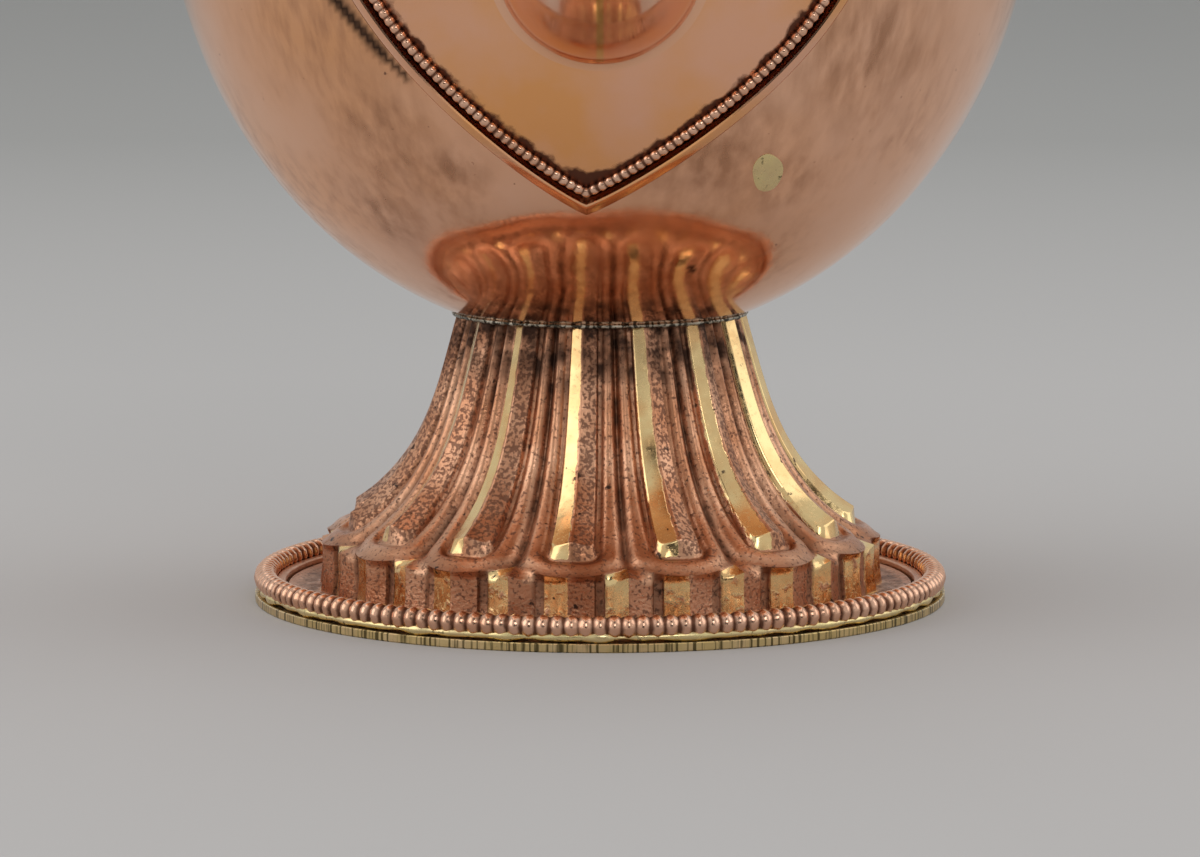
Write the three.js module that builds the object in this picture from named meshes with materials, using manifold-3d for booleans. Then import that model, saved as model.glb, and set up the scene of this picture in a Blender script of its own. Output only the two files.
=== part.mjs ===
// A bumpa: the spouted ritual water vase of the Himalaya, raised from copper sheet.
// A tall lotus foot of fifteen fluted petals carries an egg-shaped body with a plain shoulder,
// a leaf-shaped plate from which the spout rises, a ringed neck, a drip dish and a flared mouth.
// Units are millimetres. The vase stands on z = 0 about the Z axis, and the spout points to -Y.
import * as THREE from 'three';
import { mergeVertices } from 'three/addons/utils/BufferGeometryUtils.js';
import Module from 'manifold-3d';

const wasm = await Module();
wasm.setup();

// Clearances and sheet
const SEAT_GAP = 0.3; // left between two curved faces that are brazed together
const BODY_WALL = 1.2; // raised copper of the body
const NECK_WALL = 1.1; // sheet of the neck, dish and mouth
const SPOUT_WALL = 1.0;

// Base
const BASE_RADIUS = 44.9;
const BASE_THICKNESS = 1.1;
const RIM_WIRE = 1.5; // section radius of the milled wire round the base
const RIM_WIRE_OVERHANG = 0.6; // how far that wire stands out past the base sheet
const RIM_WIRE_BEADS = 160;
const BEAD_DEPTH = 0.28; // share of the wire's radius that the milling takes away
const LEDGE_WIDTH = 1.3;
const LEDGE_HEIGHT = 1.5;

// Lotus foot
const PETALS = 15;
const PETAL_PHASE = -6.2; // degrees from the spout's side to the nearest petal ridge
const FOOT_TOP_RADIUS = 18.9;
const FOOT_TOP_WALL = 2.6;
const TONGUE_END_RADIUS = 32.8;
const TONGUE_END_Z = 11.9;
const TONGUE_DROP = 2.3; // height of the flat end below each petal's ridge
const LIP_RADIUS = 36.5;
const LIP_Z = 8.0;
const LIP_BULGE = 3.3; // how far a petal's lip stands out past the notch beside it
const SKIRT_FOLD = 1.1; // depth of the upright folds below the lips
const FLANGE_THICKNESS = 0.8;
const GROOVE_DEPTH = 1.3; // depth of the groove beside the ridge at mid height
const SHELL_WALL = 1.0;

// Body
const BODY_RADIUS = 55.9;
const BODY_DROP = 62.3; // lower semi-axis
const BODY_RISE = 50; // upper semi-axis
const BODY_Z = 96.1; // height of the widest place and of the seam
const SHOULDER_RADIUS = 17.5; // radius of the flat land on which the neck stands
const SOLDER_WIDTH = 0.7;

// Leaf-shaped plate round the spout, measured on the body's skin
const LEAF_TIP_Z = 52.7;
const LEAF_WIDEST_Z = 100;
const LEAF_TOP_Z = 139;
const LEAF_HALF_WIDTH = 38.1;
const LEAF_ROUNDNESS = 0.88; // below 1 the two sides bow out from the tips
const BEVEL_WIDTH = 1.7;
const BEVEL_HEIGHT = 1.3;
const PANEL_HEIGHT = 0.9;
const PLATE_WIRE = 0.85; // section radius
const PLATE_WIRE_INSET = 3.1;

// Spout
const SPOUT_Z = 85;
const SPOUT_ROOT_RADIUS = 11.6;
const SPOUT_BORE_RADIUS = 9.2;
const SPOUT_WAIST_RADIUS = 6.2;
const SPOUT_TIP_RADIUS = 5.0;
const SPOUT_REACH = 95; // from the vase's axis to the spout's mouth
const SPOUT_TOP_Z = 184;
const SPOUT_LIP_WIRE = 1.0;

// Neck, dish and mouth
const NECK_WAIST_RADIUS = 12.4;
const NECK_BASE_RADIUS = 16.4;
const NECK_TOP_RADIUS = 14.2;
const NECK_HEIGHT = 40;
const KNOP_RADIUS = 16.6;
const KNOP_HEIGHT = 6.4;
const COLLAR_RADIUS = 28.5;
const COLLAR_THICKNESS = 1.1;
const COLLAR_WIRE = 1.2;
const DISH_RADIUS = 34.5;
const DISH_HEIGHT = 8;
const DISH_FLOOR = 2.2;
const DISH_WIRE = 1.3;
const MOUTH_WAIST_RADIUS = 12.8;
const MOUTH_RADIUS = 21.6;
const MOUTH_HEIGHT = 27.5;
const MOUTH_WIRE = 1.1;

// Brass plug set in the lower bowl
const PLUG_RADIUS = 2.3;
const PLUG_AZIMUTH = 27.3; // degrees from the spout
const PLUG_Z = 58.2;

// How finely round forms are cut
const BODY_SEGMENTS = 44;
const NECK_SEGMENTS = 28;
const WIRE_SIDES = 5;

const copper = (roughness) => new THREE.MeshStandardMaterial({
  color: 0xb87452, metalness: 1, roughness,
});
const brass = (roughness) => new THREE.MeshStandardMaterial({
  color: 0xcda85c, metalness: 1, roughness,
});
const solder = new THREE.MeshStandardMaterial({ color: 0x8c8878, metalness: 0.8, roughness: 0.6 });

const radians = THREE.MathUtils.degToRad;
const lerp = THREE.MathUtils.lerp;

// The signed volume of an indexed mesh: positive when its faces point out.
function signedVolume(geometry) {
  const p = geometry.attributes.position;
  const index = geometry.index.array;
  const [a, b, c] = [new THREE.Vector3(), new THREE.Vector3(), new THREE.Vector3()];
  let sum = 0;
  for (let i = 0; i < index.length; i += 3) {
    a.fromBufferAttribute(p, index[i]);
    b.fromBufferAttribute(p, index[i + 1]);
    c.fromBufferAttribute(p, index[i + 2]);
    sum += a.dot(b.cross(c)) / 6;
  }
  return sum;
}

// Merges the doubled vertices of a closed mesh and turns its faces out.
function closed(geometry) {
  geometry.deleteAttribute('normal');
  geometry.deleteAttribute('uv');
  const merged = mergeVertices(geometry, 1e-4);
  if (signedVolume(merged) < 0) {
    const index = merged.index.array;
    for (let i = 0; i < index.length; i += 3) [index[i], index[i + 1]] = [index[i + 1], index[i]];
  }
  merged.computeVertexNormals();
  return merged;
}

// A closed profile of [radius, height] pairs turned about the Z axis.
function turned(profile, segments) {
  const points = [...profile, profile[0]].map(([r, z]) => new THREE.Vector2(r, z));
  return closed(new THREE.LatheGeometry(points, segments).rotateX(Math.PI / 2));
}

// A profile that starts and ends on the axis, turned about the Z axis.
function turnedFromAxis(profile, segments) {
  const points = profile.map(([r, z]) => new THREE.Vector2(r, z));
  return closed(new THREE.LatheGeometry(points, segments).rotateX(Math.PI / 2));
}

// Skins a list of rings, each a closed loop of the same number of points. The last ring joins
// the first, so the rings run out along one face of a piece and back along the other.
function lofted(rings) {
  const count = rings[0].length;
  const positions = rings.flat().flatMap((v) => [v.x, v.y, v.z]);
  const index = [];
  for (let i = 0; i < rings.length; i++) {
    const next = (i + 1) % rings.length;
    for (let k = 0; k < count; k++) {
      const right = (k + 1) % count;
      const [a, b] = [i * count + k, i * count + right];
      const [c, d] = [next * count + right, next * count + k];
      index.push(a, b, c, a, c, d);
    }
  }
  const geometry = new THREE.BufferGeometry();
  geometry.setAttribute('position', new THREE.Float32BufferAttribute(positions, 3));
  geometry.setIndex(index);
  return closed(geometry);
}

// A point at an angle in degrees from the spout's side, towards +X.
function polar(radius, degrees, z) {
  const a = radians(degrees);
  return new THREE.Vector3(radius * Math.sin(a), -radius * Math.cos(a), z);
}

function toManifold(geometry) {
  return new wasm.Manifold(new wasm.Mesh({
    numProp: 3,
    vertProperties: new Float32Array(geometry.attributes.position.array),
    triVerts: new Uint32Array(geometry.index.array),
  }));
}

// Cuts tools out of a closed mesh.
function cut(geometry, ...tools) {
  const solid = tools.reduce((left, tool) => left.subtract(toManifold(tool)), toManifold(geometry));
  const mesh = solid.getMesh();
  const result = new THREE.BufferGeometry();
  const stride = mesh.numProp;
  const positions = [];
  for (let i = 0; i < mesh.vertProperties.length; i += stride) {
    positions.push(...mesh.vertProperties.slice(i, i + 3));
  }
  result.setAttribute('position', new THREE.Float32BufferAttribute(positions, 3));
  result.setIndex([...mesh.triVerts]);
  return closed(result);
}

function piece(name, geometry, material) {
  const mesh = new THREE.Mesh(geometry, material);
  mesh.name = name;
  return mesh;
}

// The egg-shaped body: two half ellipsoids that meet at the seam
const semiAxis = (z) => (z < BODY_Z ? BODY_DROP : BODY_RISE);

function bodyRadiusAt(z, inset = 0) {
  const share = (z - BODY_Z) / (semiAxis(z) - inset);
  return (BODY_RADIUS - inset) * Math.sqrt(Math.max(0, 1 - share * share));
}

function bodyBottomAt(radius) {
  return BODY_Z - BODY_DROP * Math.sqrt(1 - (radius / BODY_RADIUS) ** 2);
}

// A point on the body's skin, `around` mm from the spout's line and `lift` mm off the skin.
function onBody(around, z, lift) {
  const radius = bodyRadiusAt(z);
  const skin = polar(radius, THREE.MathUtils.radToDeg(around / radius), z);
  const tall = semiAxis(z);
  const normal = new THREE.Vector3(
    skin.x / BODY_RADIUS ** 2,
    skin.y / BODY_RADIUS ** 2,
    (z - BODY_Z) / tall ** 2,
  ).normalize();
  return skin.addScaledVector(normal, lift);
}

// Points down one quarter of an ellipse, from the seam to an end height.
function bodyArc(inset, endZ, steps) {
  const tall = semiAxis(endZ) - inset;
  const end = Math.asin(Math.min(1, Math.abs(endZ - BODY_Z) / tall));
  const sign = endZ < BODY_Z ? -1 : 1;
  return Array.from({ length: steps + 1 }, (_, i) => {
    const a = (end * i) / steps;
    return [(BODY_RADIUS - inset) * Math.cos(a), BODY_Z + sign * tall * Math.sin(a)];
  });
}

const shoulderZ = BODY_Z + BODY_RISE * Math.sqrt(1 - (SHOULDER_RADIUS / BODY_RADIUS) ** 2);
const neckTopZ = shoulderZ + NECK_HEIGHT;
const dishFloorZ = neckTopZ + DISH_FLOOR;

function spoutBoreCutter() {
  const cylinder = new THREE.CylinderGeometry(SPOUT_BORE_RADIUS, SPOUT_BORE_RADIUS, BODY_RADIUS, 24);
  return closed(cylinder.translate(0, -BODY_RADIUS, SPOUT_Z));
}

function plugFrame() {
  const around = radians(PLUG_AZIMUTH) * bodyRadiusAt(PLUG_Z);
  const skin = onBody(around, PLUG_Z, 0);
  const axis = onBody(around, PLUG_Z, 1).sub(skin);
  const turn = new THREE.Quaternion().setFromUnitVectors(new THREE.Vector3(0, 1, 0), axis);
  return { skin, axis, turn };
}

// A short cylinder square to the skin, from `deep` below it to `proud` above it.
function plugCylinder(radius, deep, proud) {
  const { skin, axis, turn } = plugFrame();
  const middle = skin.addScaledVector(axis, (proud - deep) / 2);
  const cylinder = new THREE.CylinderGeometry(radius, radius, deep + proud, 16);
  return closed(cylinder.applyQuaternion(turn).translate(middle.x, middle.y, middle.z));
}

function lowerBowl() {
  const outer = bodyArc(0, BODY_Z - BODY_DROP, 9).reverse();
  const inner = bodyArc(BODY_WALL, BODY_Z - BODY_DROP + BODY_WALL, 7);
  const shell = turnedFromAxis([...outer, ...inner], BODY_SEGMENTS);
  return cut(shell, spoutBoreCutter(), plugCylinder(PLUG_RADIUS + SEAT_GAP, 2 * BODY_WALL, BODY_WALL));
}

// The shoulder ends in a flat land for the neck and an opening as wide as the neck's bore.
function upperBowl() {
  const outer = bodyArc(0, shoulderZ, 8);
  const openingRadius = NECK_BASE_RADIUS - 2 * NECK_WALL - BODY_WALL;
  const inner = bodyArc(BODY_WALL, shoulderZ - BODY_WALL, 6).reverse();
  const land = [[openingRadius, shoulderZ], [openingRadius, shoulderZ - BODY_WALL]];
  return turned([...outer, ...land, ...inner], BODY_SEGMENTS);
}

// The foot
const rimWireRadius = BASE_RADIUS + RIM_WIRE_OVERHANG - RIM_WIRE;
const ledgeOuter = rimWireRadius - RIM_WIRE - SEAT_GAP;
const ledgeInner = ledgeOuter - LEDGE_WIDTH;
const footTopZ = bodyBottomAt(FOOT_TOP_RADIUS) - SEAT_GAP;

const baseDisc = () => turnedFromAxis([
  [0, 0], [BASE_RADIUS, 0], [BASE_RADIUS, BASE_THICKNESS], [0, BASE_THICKNESS],
], 2 * NECK_SEGMENTS);

const rimLedge = () => turned([
  [ledgeInner, BASE_THICKNESS], [ledgeOuter, BASE_THICKNESS],
  [ledgeOuter, BASE_THICKNESS + LEDGE_HEIGHT], [ledgeInner, BASE_THICKNESS + LEDGE_HEIGHT],
], BODY_SEGMENTS);

// A wire ring with a waist between every two beads.
function milledRing(ringRadius, wireRadius, beads, z, sides) {
  const rings = [];
  for (let i = 0; i < 2 * beads; i++) {
    const section = wireRadius * (i % 2 ? 1 - BEAD_DEPTH : 1);
    const degrees = (180 * i) / beads;
    rings.push(Array.from({ length: sides }, (_, k) => {
      const a = (2 * Math.PI * (k + 0.5)) / sides;
      return polar(ringRadius + section * Math.cos(a), degrees, z + section * Math.sin(a));
    }));
  }
  return lofted(rings);
}

const wireRing = (ringRadius, wireRadius, z) => closed(
  new THREE.TorusGeometry(ringRadius, wireRadius, WIRE_SIDES, BODY_SEGMENTS).translate(0, 0, z),
);

// The ridge of a petal from the top of the foot, down = 0, to its flat end, down = 1: a straight
// taper that sweeps out ever faster as a power of the way down.
const FLARE_POWER = 4.2;
const FLARE_SHARE = 0.5;

function ridgeAt(down) {
  const sweep = (1 - FLARE_SHARE) * down + FLARE_SHARE * down ** FLARE_POWER;
  return new THREE.Vector2(
    lerp(FOOT_TOP_RADIUS, TONGUE_END_RADIUS, sweep),
    lerp(footTopZ, TONGUE_END_Z, down),
  );
}

// A point `depth` mm under the ridge line, square to it.
function underRidge(down, depth) {
  const step = 0.01;
  const along = ridgeAt(Math.min(1, down + step)).sub(ridgeAt(Math.max(0, down - step))).normalize();
  const inward = new THREE.Vector2(along.y, -along.x);
  return ridgeAt(down).addScaledVector(inward, depth);
}

// One petal from notch to notch. `side` is the place across the petal, 0 on its ridge and 1 in
// the notch; `depth` is how far that place lies under the ridge, in groove depths; `fold` is how
// far its foot stands back from the ridge, in skirt folds.
const PETAL_COLUMNS = [
  { side: -1, depth: 1.25, fold: 0.2 },
  { side: -0.6, depth: 0.65, fold: 1 },
  { side: -0.5, depth: 1, fold: 0.7 },
  { side: -0.4, depth: 0.45, fold: 0.55 },
  { side: 0, depth: 0, fold: 0 },
  { side: 0.4, depth: 0.45, fold: 0.55 },
  { side: 0.5, depth: 1, fold: 0.7 },
  { side: 0.6, depth: 0.65, fold: 1 },
];
const FLUTE_ROWS = [0, 0.3, 0.6, 0.82, 0.94];
const RIDGE_SIDE = 0.45; // columns nearer the ridge than this belong to the raised tongue
const GABLE_SIDE = 0.6; // columns past this carry the small petal behind the notch

// The grooves deepen as the foot flares, so that the tongue ends in a face of its full height.
const depthAt = (down) => lerp(GROOVE_DEPTH * 0.85, TONGUE_DROP, down ** 3);

function petalProfile({ side, depth, fold }) {
  const away = Math.abs(side);
  const points = FLUTE_ROWS.map((down) => underRidge(down, depth * depthAt(down)));
  points[0].y = bodyBottomAt(points[0].x) - SEAT_GAP;
  const lipRadius = LIP_RADIUS - LIP_BULGE * away * away;
  const lipZ = LIP_Z + 0.9 * away * away;
  const floor = new THREE.Vector2(TONGUE_END_RADIUS, TONGUE_END_Z - TONGUE_DROP);
  if (away < RIDGE_SIDE) {
    points.push(underRidge(1, depth * depthAt(1)), floor.clone());
  } else {
    points.push(underRidge(0.98, depth * depthAt(1)), floor.clone().lerp(
      new THREE.Vector2(lipRadius, lipZ), away > GABLE_SIDE ? 0.3 : 0.05,
    ));
  }
  points.push(new THREE.Vector2(lipRadius, lipZ));
  const skirtRadius = LIP_RADIUS - SKIRT_FOLD * fold;
  const gableZ = away > GABLE_SIDE ? LIP_Z - 0.1 - 2.4 * (1 - away) : LIP_Z - 0.7;
  points.push(new THREE.Vector2(Math.max(skirtRadius, lipRadius), Math.min(gableZ, lipZ - 0.25)));
  points.push(new THREE.Vector2(skirtRadius + 0.1, BASE_THICKNESS + FLANGE_THICKNESS));
  return points;
}

function footShell() {
  const flangeRadius = ledgeInner - SEAT_GAP;
  const floorZ = BASE_THICKNESS;
  const flange = [[flangeRadius, floorZ + FLANGE_THICKNESS], [flangeRadius, floorZ]];
  const clear = 1.25; // deepest column, in groove depths
  const lining = [0.93, 0.62, 0].map((down) => (
    underRidge(down, clear * depthAt(down) + SHELL_WALL).toArray()
  ));
  lining[2] = [FOOT_TOP_RADIUS - FOOT_TOP_WALL, 0];
  lining[2][1] = bodyBottomAt(lining[2][0]) - SEAT_GAP;
  const skirtInner = LIP_RADIUS - LIP_BULGE - 2 * SHELL_WALL;
  const inside = [[skirtInner, floorZ], [skirtInner, LIP_Z - 2 * SHELL_WALL], ...lining];
  const columns = [];
  for (let petal = 0; petal < PETALS; petal++) {
    for (const column of PETAL_COLUMNS) {
      const degrees = PETAL_PHASE + ((petal + column.side / 2) * 360) / PETALS;
      const outside = petalProfile(column).map((v) => v.toArray());
      columns.push([...outside, ...flange, ...inside].map(([r, z]) => polar(r, degrees, z)));
    }
  }
  return lofted(columns);
}

function solderRing() {
  const inner = FOOT_TOP_RADIUS + SEAT_GAP;
  const outer = inner + SOLDER_WIDTH;
  const low = footTopZ - SOLDER_WIDTH;
  return turned([
    [inner, low], [outer, low + SEAT_GAP],
    [outer, bodyBottomAt(outer) - SEAT_GAP], [inner, bodyBottomAt(inner) - SEAT_GAP],
  ], BODY_SEGMENTS);
}

// The leaf outline, drawn in by `inset`: its half width at a height, as a sine of a power of the
// way from the nearer tip to the widest place.
function leafOutline(inset, count) {
  const tip = LEAF_TIP_Z + inset;
  const top = LEAF_TOP_Z - inset;
  return Array.from({ length: count }, (_, k) => {
    const a = (2 * Math.PI * k) / count;
    const z = lerp(tip, top, (1 - Math.cos(a)) / 2);
    const from = z < LEAF_WIDEST_Z ? tip : top;
    const share = Math.max(0, (z - from) / (LEAF_WIDEST_Z - from));
    const half = (LEAF_HALF_WIDTH - inset) * Math.sin((Math.PI / 2) * share ** LEAF_ROUNDNESS);
    return [Math.sign(Math.sin(a)) * (k % (count / 2) ? half : 0), z];
  });
}

// The same number of points round the spout's root.
const rootOutline = (radius, count) => Array.from({ length: count }, (_, k) => {
  const a = (2 * Math.PI * k) / count;
  return [radius * Math.sin(a), SPOUT_Z - radius * Math.cos(a)];
});

// The ring of skin points a share of the way from the spout's root to the leaf outline.
function plateRing(share, inset, lift, count) {
  const edge = leafOutline(inset, count);
  return rootOutline(SPOUT_BORE_RADIUS, count).map(([u, z], k) => (
    onBody(lerp(u, edge[k][0], share), lerp(z, edge[k][1], share), lift)
  ));
}

const LEAF_POINTS = 48;
const BACK_LIFT = 1.5 * SEAT_GAP; // the back clears the body's skin between its own facets
const panelTop = BACK_LIFT + PANEL_HEIGHT;

function spoutPlate() {
  const shares = [0, 0.3, 0.6, 0.85];
  const grooveInset = BEVEL_WIDTH + 0.4;
  const front = shares.map((share) => plateRing(share, grooveInset, panelTop, LEAF_POINTS));
  const back = shares.map((share) => plateRing(share, grooveInset, BACK_LIFT, LEAF_POINTS));
  return lofted([
    ...front,
    plateRing(1, grooveInset, panelTop, LEAF_POINTS),
    plateRing(1, BEVEL_WIDTH, BACK_LIFT + BEVEL_HEIGHT, LEAF_POINTS),
    plateRing(1, 0, BACK_LIFT + SEAT_GAP, LEAF_POINTS),
    plateRing(1, SEAT_GAP, BACK_LIFT, LEAF_POINTS),
    ...back.reverse(),
  ]);
}

// The milled wire follows the leaf just inside its bevel.
function plateWire() {
  const count = 64;
  const path = leafOutline(PLATE_WIRE_INSET, count).map(([u, z]) => ({
    at: onBody(u, z, panelTop + PLATE_WIRE + SEAT_GAP / 2),
    out: onBody(u, z, 1).sub(onBody(u, z, 0)),
  }));
  return lofted(path.map(({ at, out }, k) => {
    const next = path[(k + 1) % count].at;
    const last = path[(k + count - 1) % count].at;
    const along = next.clone().sub(last).normalize();
    const across = along.cross(out).normalize();
    return Array.from({ length: WIRE_SIDES }, (_, i) => {
      const a = (2 * Math.PI * (i + 0.5)) / WIRE_SIDES;
      return at.clone()
        .addScaledVector(out, PLATE_WIRE * Math.cos(a))
        .addScaledVector(across, PLATE_WIRE * Math.sin(a));
    });
  }));
}

// The spout leaves the body level, turns up in a swan's neck and ends upright.
const spoutLine = new THREE.CatmullRomCurve3([
  new THREE.Vector3(0, -BODY_RADIUS - 3, SPOUT_Z + 0.5),
  new THREE.Vector3(0, lerp(-BODY_RADIUS, -SPOUT_REACH, 0.42), SPOUT_Z + 7),
  new THREE.Vector3(0, lerp(-BODY_RADIUS, -SPOUT_REACH, 0.7), lerp(SPOUT_Z, SPOUT_TOP_Z, 0.22)),
  new THREE.Vector3(0, lerp(-BODY_RADIUS, -SPOUT_REACH, 0.84), lerp(SPOUT_Z, SPOUT_TOP_Z, 0.42)),
  new THREE.Vector3(0, lerp(-BODY_RADIUS, -SPOUT_REACH, 0.92), lerp(SPOUT_Z, SPOUT_TOP_Z, 0.66)),
  new THREE.Vector3(0, -SPOUT_REACH, SPOUT_TOP_Z),
]);

// The spout narrows quickly past its root, then slowly, and opens a little at its mouth.
function spoutRadiusAt(along) {
  const taper = lerp(SPOUT_ROOT_RADIUS, SPOUT_WAIST_RADIUS, Math.sin((Math.PI / 2) * Math.min(1, along * 1.5)));
  return along < 0.667 ? taper : lerp(SPOUT_WAIST_RADIUS, SPOUT_TIP_RADIUS, (along - 0.667) * 3);
}

function spoutRing(along, radius, count) {
  const at = spoutLine.getPointAt(along);
  const forward = spoutLine.getTangentAt(along);
  const up = new THREE.Vector3(1, 0, 0).cross(forward).negate();
  return Array.from({ length: count }, (_, k) => {
    const a = (2 * Math.PI * k) / count;
    return at.clone()
      .add(new THREE.Vector3(radius * Math.sin(a), 0, 0))
      .addScaledVector(up, -radius * Math.cos(a));
  });
}

function spoutTube() {
  const count = 16;
  const stations = [0.02, 0.1, 0.18, 0.27, 0.37, 0.48, 0.6, 0.73, 0.87, 1];
  const seatLift = panelTop + SEAT_GAP;
  const seat = (radius) => rootOutline(radius, count).map(([u, z]) => onBody(u, z, seatLift));
  const outer = stations.map((s) => spoutRing(s, spoutRadiusAt(s), count));
  const inner = stations.map((s) => spoutRing(s, spoutRadiusAt(s) - SPOUT_WALL, count));
  return lofted([
    seat(SPOUT_ROOT_RADIUS + SPOUT_WALL), ...outer,
    ...inner.reverse(), seat(SPOUT_BORE_RADIUS + SEAT_GAP),
  ]);
}

// A wire ring round the spout's mouth.
function spoutLip() {
  const radius = SPOUT_TIP_RADIUS + SEAT_GAP + SPOUT_LIP_WIRE;
  const ring = new THREE.TorusGeometry(radius, SPOUT_LIP_WIRE, WIRE_SIDES, 24);
  const end = spoutLine.getTangentAt(1);
  ring.applyQuaternion(new THREE.Quaternion().setFromUnitVectors(new THREE.Vector3(0, 0, 1), end));
  const at = spoutLine.getPointAt(1).addScaledVector(end, -SPOUT_LIP_WIRE);
  return closed(ring.translate(at.x, at.y, at.z));
}

// Neck
function neckTube() {
  const outer = [
    [NECK_BASE_RADIUS, 0], [lerp(NECK_BASE_RADIUS, NECK_WAIST_RADIUS, 0.35), 0.06],
    [lerp(NECK_BASE_RADIUS, NECK_WAIST_RADIUS, 0.8), 0.16], [NECK_WAIST_RADIUS, 0.34],
    [NECK_WAIST_RADIUS, 0.62], [lerp(NECK_WAIST_RADIUS, NECK_TOP_RADIUS, 0.45), 0.84],
    [NECK_TOP_RADIUS, 1],
  ].map(([r, share]) => [r, shoulderZ + share * NECK_HEIGHT]);
  const inner = outer.map(([r, z]) => [r - NECK_WALL, z]).reverse();
  return turned([...outer, ...inner], NECK_SEGMENTS);
}

const knopZ = shoulderZ + 0.48 * NECK_HEIGHT;

function neckKnop() {
  const inner = NECK_WAIST_RADIUS + SEAT_GAP;
  const edge = lerp(inner, KNOP_RADIUS, 0.35);
  const high = KNOP_HEIGHT / 2;
  return turned([
    [inner, knopZ - high], [edge, knopZ - high], [lerp(edge, KNOP_RADIUS, 0.8), knopZ - high / 2],
    [KNOP_RADIUS, knopZ], [lerp(edge, KNOP_RADIUS, 0.8), knopZ + high / 2],
    [edge, knopZ + high], [inner, knopZ + high],
  ], NECK_SEGMENTS);
}

// A collar of small petals lies on the shoulder round the neck.
const collarInner = NECK_BASE_RADIUS + SEAT_GAP + 1;

function shoulderCollar() {
  const columns = [];
  for (let k = 0; k < 4 * PETALS; k++) {
    const place = (k % 4) / 4; // across one petal, from notch to notch
    const scallop = Math.sin(Math.PI * place);
    const rim = COLLAR_RADIUS - 2.2 * (1 - scallop);
    const degrees = PETAL_PHASE + ((k / 4 - 0.5) * 360) / PETALS;
    const skin = (r, lift) => {
      const z = BODY_Z + BODY_RISE * Math.sqrt(1 - (r / BODY_RADIUS) ** 2);
      return polar(r, degrees, z + lift);
    };
    const inner = collarInner + SEAT_GAP;
    const middle = (inner + rim) / 2;
    columns.push([
      skin(inner, BACK_LIFT), skin(middle, BACK_LIFT), skin(rim, BACK_LIFT),
      skin(rim, BACK_LIFT + COLLAR_THICKNESS * (0.6 + 0.6 * scallop)),
      skin(middle, BACK_LIFT + COLLAR_THICKNESS * (0.7 + 0.9 * scallop)),
      skin(inner, BACK_LIFT + COLLAR_THICKNESS),
    ]);
  }
  return lofted(columns);
}

const collarWireZ = shoulderZ + BACK_LIFT + COLLAR_THICKNESS + COLLAR_WIRE;

// Dish and mouth
const dishTopZ = neckTopZ + DISH_HEIGHT;

function dripDish() {
  const bore = NECK_TOP_RADIUS - NECK_WALL;
  const rimWidth = 2 * DISH_WIRE;
  return turned([
    [bore, neckTopZ], [NECK_TOP_RADIUS, neckTopZ],
    [lerp(NECK_TOP_RADIUS, DISH_RADIUS, 0.35), neckTopZ + 0.18 * DISH_HEIGHT],
    [lerp(NECK_TOP_RADIUS, DISH_RADIUS, 0.75), neckTopZ + 0.48 * DISH_HEIGHT],
    [DISH_RADIUS, dishTopZ], [DISH_RADIUS - rimWidth, dishTopZ],
    [lerp(NECK_TOP_RADIUS, DISH_RADIUS, 0.7), dishFloorZ + 0.38 * DISH_HEIGHT],
    [lerp(NECK_TOP_RADIUS, DISH_RADIUS, 0.3), dishFloorZ + 0.08 * DISH_HEIGHT],
    [MOUTH_WAIST_RADIUS + 2, dishFloorZ], [bore, dishFloorZ],
  ], NECK_SEGMENTS);
}

const mouthTopZ = dishFloorZ + MOUTH_HEIGHT;

function mouthCup() {
  const outer = [
    [MOUTH_WAIST_RADIUS + 1.6, 0], [MOUTH_WAIST_RADIUS + 0.4, 0.1], [MOUTH_WAIST_RADIUS, 0.26],
    [lerp(MOUTH_WAIST_RADIUS, MOUTH_RADIUS, 0.12), 0.5], [lerp(MOUTH_WAIST_RADIUS, MOUTH_RADIUS, 0.4), 0.76],
    [lerp(MOUTH_WAIST_RADIUS, MOUTH_RADIUS, 0.75), 0.93], [MOUTH_RADIUS, 1],
  ].map(([r, share]) => [r, dishFloorZ + share * MOUTH_HEIGHT]);
  const inner = outer.map(([r, z], i) => [r - (i === outer.length - 1 ? 2 : 1) * NECK_WALL, z]);
  return turned([...outer, ...inner.reverse()], NECK_SEGMENTS);
}

const vase = new THREE.Group();
vase.name = 'vase';
vase.add(
  piece('base_disc', baseDisc(), brass(0.5)),
  piece('rim_ledge_ring', rimLedge(), copper(0.45)),
  piece('rim_milled_wire', milledRing(
    rimWireRadius, RIM_WIRE, RIM_WIRE_BEADS, BASE_THICKNESS + RIM_WIRE, 4,
  ), copper(0.35)),
  piece('lotus_foot_shell', footShell(), copper(0.4)),
  piece('foot_solder_ring', solderRing(), solder),
  piece('lower_bowl', lowerBowl(), copper(0.2)),
  piece('upper_bowl', upperBowl(), copper(0.2)),
  piece('bowl_plug', plugCylinder(PLUG_RADIUS, BODY_WALL, 0), brass(0.4)),
  piece('spout_plate', spoutPlate(), copper(0.25)),
  piece('plate_milled_wire', plateWire(), copper(0.4)),
  piece('spout_tube', spoutTube(), copper(0.25)),
  piece('spout_lip_wire', spoutLip(), copper(0.35)),
  piece('shoulder_petal_collar', shoulderCollar(), copper(0.4)),
  piece('collar_milled_wire', wireRing(
    collarInner + SEAT_GAP + COLLAR_WIRE, COLLAR_WIRE, collarWireZ,
  ), copper(0.35)),
  piece('neck_tube', neckTube(), copper(0.25)),
  piece('neck_knop', neckKnop(), brass(0.3)),
  piece('drip_dish', dripDish(), copper(0.3)),
  piece('dish_milled_wire', wireRing(DISH_RADIUS - DISH_WIRE, DISH_WIRE, dishTopZ + DISH_WIRE), copper(0.35)),
  piece('mouth_cup', mouthCup(), copper(0.3)),
  piece('mouth_milled_wire', wireRing(
    MOUTH_RADIUS - MOUTH_WIRE, MOUTH_WIRE, mouthTopZ + MOUTH_WIRE,
  ), copper(0.35)),
);

export default vase;
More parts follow.
